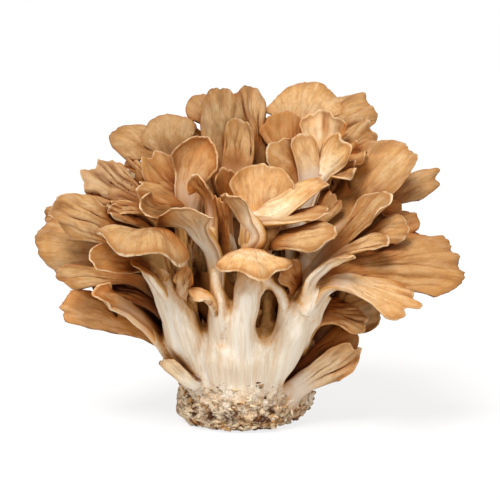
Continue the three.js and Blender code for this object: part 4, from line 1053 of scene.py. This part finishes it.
# ---------------------------------------------------------------- materials
class Shader:
    """The nodes of a material or a sky, added by calls that give back their output sockets."""

    def __init__(self, owner):
        owner.use_nodes = True
        self.owner = owner
        self.nodes = owner.node_tree.nodes
        self.links = owner.node_tree.links

    def put(self, socket, value):
        if isinstance(value, bpy.types.NodeSocket):
            self.links.new(value, socket)
        elif isinstance(value, tuple) and socket.type == "RGBA":
            socket.default_value = (*value, 1)
        else:
            socket.default_value = value

    def fill(self, node, inputs):
        """A node with its inputs filled in by their names."""
        for key, value in inputs.items():
            self.put(node.inputs[key], value)
        return node

    def node(self, kind, settings=None, **inputs):
        """A new node with its settings and inputs."""
        node = self.nodes.new(kind)
        for key, value in (settings or {}).items():
            setattr(node, key, value)
        return self.fill(node, inputs)

    def finished(self, colour, roughness, specular, **others):
        """The material, with its surface filled in."""
        inputs = {"Base Color": colour, "Roughness": roughness, "Specular IOR Level": specular}
        self.fill(self.nodes["Principled BSDF"], {**inputs, **others})
        return self.owner

    def attribute(self, name, output="Fac"):
        return self.node("ShaderNodeAttribute", {"attribute_name": name}).outputs[output]

    def parts(self, vector):
        return self.node("ShaderNodeSeparateXYZ", Vector=vector).outputs

    def stretch(self, vector, x, y, z):
        node = self.node("ShaderNodeVectorMath", {"operation": "MULTIPLY"})
        self.put(node.inputs[0], vector)
        self.put(node.inputs[1], (x, y, z))
        return node.outputs[0]

    def drifted(self, vector, scale, size):
        """A vector pushed about by noise, so that nothing laid out on it stays straight."""
        pushes = self.node("ShaderNodeTexNoise", Vector=vector, Scale=scale).outputs["Color"]
        node = self.node("ShaderNodeVectorMath", {"operation": "MULTIPLY_ADD"})
        for socket, value in zip(node.inputs, (pushes, (size, size, size), vector)):
            self.put(socket, value)
        return node.outputs[0]

    def noise(self, vector, detail=3.0, roughness=0.55, scale=1.0):
        return self.node("ShaderNodeTexNoise", Vector=vector, Scale=scale, Detail=detail,
                         Roughness=roughness).outputs["Fac"]

    def cells(self, vector, scale):
        return self.node("ShaderNodeTexVoronoi", Vector=vector, Scale=scale).outputs["Distance"]

    def math(self, operation, *values):
        """The values taken together two by two, from the first on."""
        total = values[0]
        for value in values[1:]:
            node = self.node("ShaderNodeMath", {"operation": operation})
            self.put(node.inputs[0], total)
            self.put(node.inputs[1], value)
            total = node.outputs[0]
        return total

    def remap(self, value, low, high, to_low=0.0, to_high=1.0):
        node = self.node("ShaderNodeMapRange")
        for socket, number in zip(node.inputs, (value, low, high, to_low, to_high)):
            self.put(socket, number)
        return node.outputs[0]

    def ramp(self, value, stops):
        node = self.node("ShaderNodeValToRGB", Fac=value)
        elements = node.color_ramp.elements
        while len(elements) < len(stops):
            elements.new(1)
        for element, (place, colour) in zip(elements, stops):
            element.position = place
            element.color = (*colour, 1)
        return node.outputs[0]

    def mix(self, share, a, b, blend="MIX"):
        settings = {"data_type": "RGBA", "blend_type": blend}
        return self.node("ShaderNodeMix", settings, Factor=share, A=a, B=b).outputs["Result"]

    def paint(self, colour, over, value, low, high, share=1.0, where=None):
        """A colour, painted over up to a share while a value goes from low to high."""
        amount = self.remap(value, low, high, 0, share)
        if where is not None:
            amount = self.math("MULTIPLY", where, amount)
        return self.mix(amount, colour, over)

    def rays(self, *kinds):
        """1 for rays of these kinds, 0 for others."""
        paths = self.node("ShaderNodeLightPath").outputs
        return self.math("MAXIMUM", *(paths[f"Is {kind} Ray"] for kind in kinds))

    def bump(self, height, depth):
        return self.node("ShaderNodeBump", Height=height, Distance=depth * MM).outputs[0]


# Colours from a cap's neck to its margin: on a dark cap's face, on a pale cap's, and on the pores.
# On a dark cap's face, the deep brown near the neck is partly painted shade and the light tan further out
# partly a painted highlight.
DARK_FACE_AND_PAINTED_LIGHT = [(0.0, (0.27, 0.105, 0.022)), (0.3, (0.44, 0.20, 0.055)), (0.62, (0.67, 0.385, 0.155)),
             (0.86, (0.60, 0.31, 0.102)), (1.0, (0.40, 0.165, 0.04))]
PALE_FACE = [(0.0, (0.91, 0.79, 0.58)), (0.28, (0.86, 0.67, 0.42)), (0.56, (0.75, 0.48, 0.225)),
             (0.82, (0.64, 0.345, 0.125)), (1.0, (0.47, 0.215, 0.06))]
FLESH = (0.89, 0.81, 0.69)
PORES = [(0.0, FLESH), (0.45, (0.86, 0.67, 0.43)), (1.0, (0.76, 0.50, 0.26))]
FLESH_TAN = (0.70, 0.50, 0.30)
FLESH_FIBRE = (0.62, 0.46, 0.29)
PALE_PATCH = (0.82, 0.58, 0.32)
PALE_STREAK = (0.84, 0.62, 0.36)
DARK_SPOT = (0.42, 0.17, 0.04)
DARK_FIBRE = (0.33, 0.13, 0.03)
BROWN_NECK = (0.50, 0.24, 0.08)
# painted shade at the bottom of a fold, and a painted highlight on its crest
FOLD_PAINTED_SHADE = (0.26, 0.095, 0.022)
FOLD_PAINTED_HIGHLIGHT = (0.86, 0.63, 0.37)
WARM_TINT = (0.58, 0.24, 0.055)
GREY_TINT = (0.46, 0.28, 0.15)
MARGIN_BAND = (0.40, 0.17, 0.045)
PALE_RIM = (0.90, 0.72, 0.48)
DARK_RIM = (0.22, 0.085, 0.03)
# Painted shade: the warm tint deep in the cluster, the deep brown of its recesses, and the brown of narrow
# gaps.
SHADE_WARMTH = (0.80, 0.50, 0.20)
RECESS_PAINTED_SHADE = (0.14, 0.043, 0.006)
GAP_PAINTED_SHADE = (0.42, 0.21, 0.08)
STAIN = (0.66, 0.42, 0.19)
SOIL = [(0.36, (0.055, 0.022, 0.010)), (0.5, (0.27, 0.12, 0.04)), (0.64, (0.55, 0.33, 0.15))]
CRUMBS = [(0.0, (0.075, 0.027, 0.009)), (0.3, (0.20, 0.075, 0.020)), (0.5, (0.48, 0.22, 0.065)),
          (0.68, (0.60, 0.34, 0.13)), (0.85, (0.76, 0.53, 0.28)), (1.0, (0.88, 0.73, 0.50))]
MYCELIUM = (0.90, 0.75, 0.54)
GAP_SHADE_REACH = 7 * MM  # how far off a neighbour still darkens the gap with painted shade


def shaded(shader, colour):
    """Painted shade: a colour that warms, then turns to deep brown, the deeper the piece lies in the
    cluster, and darkens in narrow gaps between neighbours.
    """
    shade = shader.attribute("shade")
    colour = shader.mix(shader.remap(shade, 0.1, 0.45), colour, SHADE_WARMTH, "MULTIPLY")
    colour = shader.paint(colour, RECESS_PAINTED_SHADE, shade, 0.42, 0.8, 0.9)
    # painted shade in the narrow gaps, from the flesh's nearness to its neighbours
    gap = shader.node("ShaderNodeAmbientOcclusion", {"samples": 6}, Distance=GAP_SHADE_REACH)
    return shader.mix(shader.remap(gap.outputs["AO"], 0.25, 0.8, 1, 0), colour, GAP_PAINTED_SHADE, "MULTIPLY")


def cap_marks(shader, grain):
    """Patterns that run with a cap's fibres: the fibres, broader streaks, soft patches and spots."""
    bent = shader.drifted(grain, 0.16, 1.6)
    return {
        "fibres": shader.noise(shader.stretch(bent, 1.7, 0.13, 1), 5, 0.62),
        "streaks": shader.noise(shader.stretch(bent, 0.42, 0.06, 1), 3),
        "patches": shader.noise(shader.stretch(bent, 0.13, 0.12, 1), 4, 0.6),
        "spots": shader.noise(shader.stretch(grain, 0.55, 0.4, 1), 4, 0.65),
    }


def face_colour(shader, marks, station, tone):
    """The upper side: pale or dark by the cap's tone, browner outwards, streaked and spotted."""
    place = shader.math("ADD", station, shader.remap(marks["patches"], 0.3, 0.7, -0.22, 0.22))
    # a dark cap's face is partly painted shade near the neck and a painted highlight further out
    dark, pale = shader.ramp(place, DARK_FACE_AND_PAINTED_LIGHT), shader.ramp(place, PALE_FACE)
    open_flesh = shader.remap(station, 0.15, 0.6, 0.15, 1)
    colour = shader.paint(pale, dark, tone, -0.6, -0.05)
    colour = shader.paint(colour, PALE_PATCH, marks["patches"], 0.48, 0.72, 0.7, open_flesh)
    colour = shader.paint(colour, DARK_SPOT, marks["spots"], 0.48, 0.70, 0.5)
    colour = shader.paint(colour, DARK_FIBRE, marks["fibres"], 0.45, 0.68, 0.35)
    return shader.paint(colour, PALE_STREAK, marks["streaks"], 0.5, 0.7, 0.4, open_flesh)


def body_colour(shader, marks, station, tone):
    """A cap's face, pores and neck, with painted shade down in its folds and a painted highlight on their
    crests.
    """
    face, fold = shader.attribute("face"), shader.attribute("fold")
    place = shader.math("ADD", station, shader.remap(marks["patches"], 0.3, 0.7, -0.25, 0.25))
    colour = shader.mix(face, shader.ramp(place, PORES), face_colour(shader, marks, station, tone))
    dark_face = shader.math("MULTIPLY", face, shader.remap(tone, -0.7, 0.1))
    neck = shader.paint(FLESH, BROWN_NECK, station, -0.5, -0.05, where=dark_face)
    colour = shader.mix(shader.remap(station, -0.1, 0.16, 1, 0), colour, neck)
    # painted shade in the fold bottoms and a painted highlight on the crests
    colour = shader.paint(colour, FOLD_PAINTED_SHADE, fold, 0, -0.6, 0.75)
    return shader.paint(colour, FOLD_PAINTED_HIGHLIGHT, fold, 0.1, 0.8, 0.4)


def margin_colour(shader, marks, colour):
    """A cap's colour with its margin: a brown band, and outside it a pale or a dark rim."""
    edge, rim = shader.attribute("edge"), shader.attribute("rim")
    band = shader.math("MULTIPLY", shader.remap(edge, 0.7, 1.1), shader.remap(edge, 1.3, 3.2, 1, 0),
                       shader.remap(rim, 0.2, 1, 0.25, 0.8))
    inward = shader.math("DIVIDE", edge, shader.remap(marks["patches"], 0.35, 0.65, 0.55, 1.5))
    at_edge = shader.math("MULTIPLY", shader.remap(inward, 0.25, 0.95, 1, 0),
                          shader.remap(marks["spots"], 0.38, 0.56, 0.1, 1))
    dark = shader.math("MULTIPLY", at_edge, shader.remap(rim, -0.7, 0, 1, 0))
    colour = shader.paint(shader.mix(band, colour, MARGIN_BAND), PALE_RIM, rim, 0, 1, 0.85, at_edge)
    return shader.mix(dark, colour, DARK_RIM)


def cap_material():
    """Brown fibrous faces that pale towards the neck, cream pores, and a rim that is pale or dark, with
    painted shade deep in the cluster.
    """
    shader = Shader(bpy.data.materials.new("maitake_cap"))
    grain = shader.attribute("grain", "Vector")
    marks = cap_marks(shader, grain)
    tone, warm, grey = shader.parts(shader.attribute("tint", "Vector"))
    colour = body_colour(shader, marks, shader.attribute("station"), tone)
    colour = shader.mix(1.0, colour, shader.remap(tone, -1, 1, 1.18, 0.55), "MULTIPLY")
    colour = shader.mix(shader.math("MULTIPLY", warm, 0.55), colour, WARM_TINT)
    colour = shader.mix(shader.math("MULTIPLY", grey, 0.6), colour, GREY_TINT)
    # painted shade deep in the cluster and in the gaps between caps
    colour = shaded(shader, margin_colour(shader, marks, colour))
    underside = shader.remap(shader.attribute("face"), 0, 1, 0.6, 0)
    holes = shader.math("MULTIPLY", shader.cells(grain, 2.6), underside)
    streaks = shader.math("MULTIPLY", marks["streaks"], 1.5)
    height = shader.math("ADD", marks["fibres"], streaks, holes, marks["spots"])
    roughness = shader.remap(marks["fibres"], 0.3, 0.7, 0.5, 0.68)
    return shader.finished(colour, roughness, 0.2, Normal=shader.bump(height, 0.3))


def flesh_material():
    """Cream fibrous flesh, browner between the fibres and low on the butt, with painted shade deep in the
    cluster and in its gaps.
    """
    shader = Shader(bpy.data.materials.new("maitake_flesh"))
    grain = shader.attribute("grain", "Vector")
    place = shader.node("ShaderNodeTexCoord").outputs["Object"]
    above_floor = shader.math("DIVIDE", shader.parts(place)[2], MM)
    low = shader.remap(above_floor, 22, 8)
    fibres = shader.noise(shader.stretch(grain, 1.2, 1.2, 0.06), 4, 0.6)
    streaks = shader.noise(shader.stretch(grain, 0.3, 0.3, 0.02), 3)
    crust = shader.noise(place, 5, 0.65, 260)
    blotches = shader.remap(shader.noise(place, 4, 0.6, 130), 0.4, 0.62, 0.1, 0.8)
    colour = shader.paint(FLESH, FLESH_TAN, streaks, 0.42, 0.68, 0.75)
    colour = shader.paint(colour, FLESH_FIBRE, fibres, 0.45, 0.75, 0.5)
    colour = shader.mix(shader.math("MULTIPLY", low, blotches), colour, STAIN)
    soil = shader.ramp(shader.noise(place, 4, 0.6, 620), SOIL)
    # painted shade deep in the cluster, under the crust's soil
    colour = shader.paint(shaded(shader, colour), soil, crust, 0.48, 0.6, where=low)
    relief = shader.math("ADD", fibres, shader.math("MULTIPLY", streaks, 2.0),
                         shader.math("MULTIPLY", low, 2.5, crust))
    return shader.finished(colour, 0.66, 0.2, Normal=shader.bump(relief, 0.5))


def substrate_material():
    """Crumbs of sawdust and grain in many browns, bound by pale threads of mycelium."""
    shader = Shader(bpy.data.materials.new("maitake_substrate"))
    place = shader.node("ShaderNodeTexCoord").outputs["Object"]
    fine = shader.noise(place, 5, 0.65, 700)
    broad = shader.noise(place, 4, 0.6, 190)
    kind = shader.math("ADD", shader.attribute("brightness"), shader.remap(fine, 0.3, 0.7, -0.2, 0.2))
    colour = shader.paint(shader.ramp(kind, CRUMBS), MYCELIUM, broad, 0.43, 0.57, 0.8)
    return shader.finished(colour, 0.85, 0.25, Normal=shader.bump(fine, 0.8))


WHITE = (1.0, 1.0, 1.0)
FLOOR_COLOUR = 0.8
SHADOW_SHARE = 0.2  # how much of the floor's own light and shadow the camera sees over plain white
SHADOW_GAIN = 1.05  # lifts the open floor to white


def floor_material():
    """A pale floor that the camera sees as white, with the cluster's shadow kept."""
    shader = Shader(bpy.data.materials.new("floor"))
    seen = shader.rays("Camera", "Glossy", "Transmission")
    level = shader.remap(seen, 0, 1, FLOOR_COLOUR, SHADOW_SHARE * SHADOW_GAIN)
    glow = shader.remap(seen, 0, 1, 0, 1 - SHADOW_SHARE)
    return shader.finished(level, 1.0, 0.0, **{"Emission Color": WHITE, "Emission Strength": glow})


# ---------------------------------------------------------------- stage
TARGET = Vector((2.8, 0, 69.7)) * MM
VIEW_DOWN = math.radians(8)
VIEW_WIDTH = 0.2  # metres across the picture at the target
LENS = 120
SENSOR = 36
FLOOR_HALF = 4000
SKY_LEVEL = 0.42
SKY_COLOUR = (1.0, 0.92, 0.82)
# Each lamp: the way it shines from, its strength, and how wide it looks from the cluster.
LAMPS = {"key": ((-0.35, -0.8, 1.15), 2.9, 24), "fill": ((0.8, -0.9, 0.45), 0.45, 60)}


def camera():
    body = bpy.data.cameras.new("camera")
    body.lens = LENS
    body.sensor_width = SENSOR
    body.clip_start = 0.01
    view = bpy.data.objects.new("camera", body)
    bpy.context.scene.collection.objects.link(view)
    away = VIEW_WIDTH * LENS / SENSOR
    view.location = TARGET + Vector((0, -math.cos(VIEW_DOWN), math.sin(VIEW_DOWN))) * away
    view.rotation_euler = (math.pi / 2 - VIEW_DOWN, 0, 0)
    bpy.context.scene.camera = view


def sun(name, direction, strength, width):
    """A distant soft lamp that shines from a direction."""
    lamp = bpy.data.lights.new(name, "SUN")
    lamp.energy = strength
    lamp.angle = math.radians(width)
    holder = bpy.data.objects.new(name, lamp)
    bpy.context.scene.collection.objects.link(holder)
    holder.rotation_euler = Vector(direction).to_track_quat("Z", "Y").to_euler()


def sky():
    """Even warm light from all round, which the camera and glossy reflections see as plain white."""
    shader = Shader(bpy.data.worlds.new("sky"))
    bpy.context.scene.world = shader.owner
    seen = shader.rays("Camera", "Glossy")
    light = {"Strength": shader.remap(seen, 0, 1, SKY_LEVEL), "Color": shader.mix(seen, SKY_COLOUR, WHITE)}
    shader.fill(shader.nodes["Background"], light)


def stage():
    camera()
    corners = [(x * FLOOR_HALF, y * FLOOR_HALF, 0) for x, y in ((-1, -1), (1, -1), (1, 1), (-1, 1))]
    floor = new_object("floor", corners, [(0, 1, 2, 3)])
    floor.data.materials.append(floor_material())
    for name, lamp in LAMPS.items():
        sun(name, *lamp)
    sky()
    bpy.context.scene.view_settings.view_transform = "Standard"


# ---------------------------------------------------------------- the cluster
COLUMNS_PER_MM = 1.9
COLUMN_LIMITS = (25, 61)
ROWS_PER_MM = 0.95
ROW_LIMITS = (14, 36)
STEM_ROWS = 8
INNER_DETAIL = (33, 20)  # columns and rows of the caps seen only through gaps


def detail_of(shape, node):
    """How many columns, rows and stem rows a cap's mesh has: more on large caps."""
    columns = int(np.clip(shape["width"] * COLUMNS_PER_MM, *COLUMN_LIMITS)) // 2 * 2 + 1
    rows = int(np.clip(cap_frame(shape)[4] * ROWS_PER_MM, *ROW_LIMITS))
    if node.startswith("inner_"):
        columns, rows = INNER_DETAIL
    return columns, rows, STEM_ROWS


def add_frond(node, caps, shade_of, material):
    """One frond: its caps as one piece, with the values that its finish reads."""
    meshes = [cap_mesh(shape, f"{node}_{k}", shade_of, *detail_of(shape, node))
              for k, shape in enumerate(caps)]
    piece = new_object(f"{node}_frond", *joined([mesh[:2] for mesh in meshes]))
    put_values(piece, {key: np.vstack([mesh[2][key] for mesh in meshes]) for key in meshes[0][2]})
    claim(piece, material, [node])


def add_substrate(stalks):
    """The plug, and the crumbs that cover it and the foot of the stalks, as one piece."""
    points, _ = surface(stalks)
    faces = [tuple(face.vertices) for face in stalks.data.polygons]
    skin = BVHTree.FromPolygons([Vector(p) for p in points], faces)
    crumb_points, crumb_faces, brightness = crumbs(skin)
    plug_points, plug_faces = plug()
    piece = new_object("substrate_crust", *joined([(crumb_points, crumb_faces), (plug_points, plug_faces)]))
    # the plug's dark brown: its substrate, and partly painted contact shade
    plug_soil_and_shade = np.full((len(plug_points), 1), PLUG_SOIL_AND_SHADE)
    put_values(piece, {"brightness": np.vstack([brightness, plug_soil_and_shade])})
    claim(piece, substrate_material(), ["substrate"])


def cluster():
    """Every piece of the maitake."""
    fronds = {**FRONDS, **{name: rosette_caps(*row) for name, row in ROSETTES.items()}}
    named_caps = [(f"{node}_{k}", shape) for node, caps in fronds.items() for k, shape in enumerate(caps)]
    shade_at = shade_finder(coarse_cluster(named_caps))

    def shade_of(shape, name, rows, columns):
        return [resized(grid, rows, columns) for grid in cap_shades(shape, name, shade_at)]

    material = cap_material()
    for node, caps in fronds.items():
        add_frond(node, caps, shade_of, material)
    stalks = trunk([shape for _, shape in named_caps], shade_at)
    claim(stalks, flesh_material(), ["butt", *STALKS])
    add_substrate(stalks)


stage()
cluster()
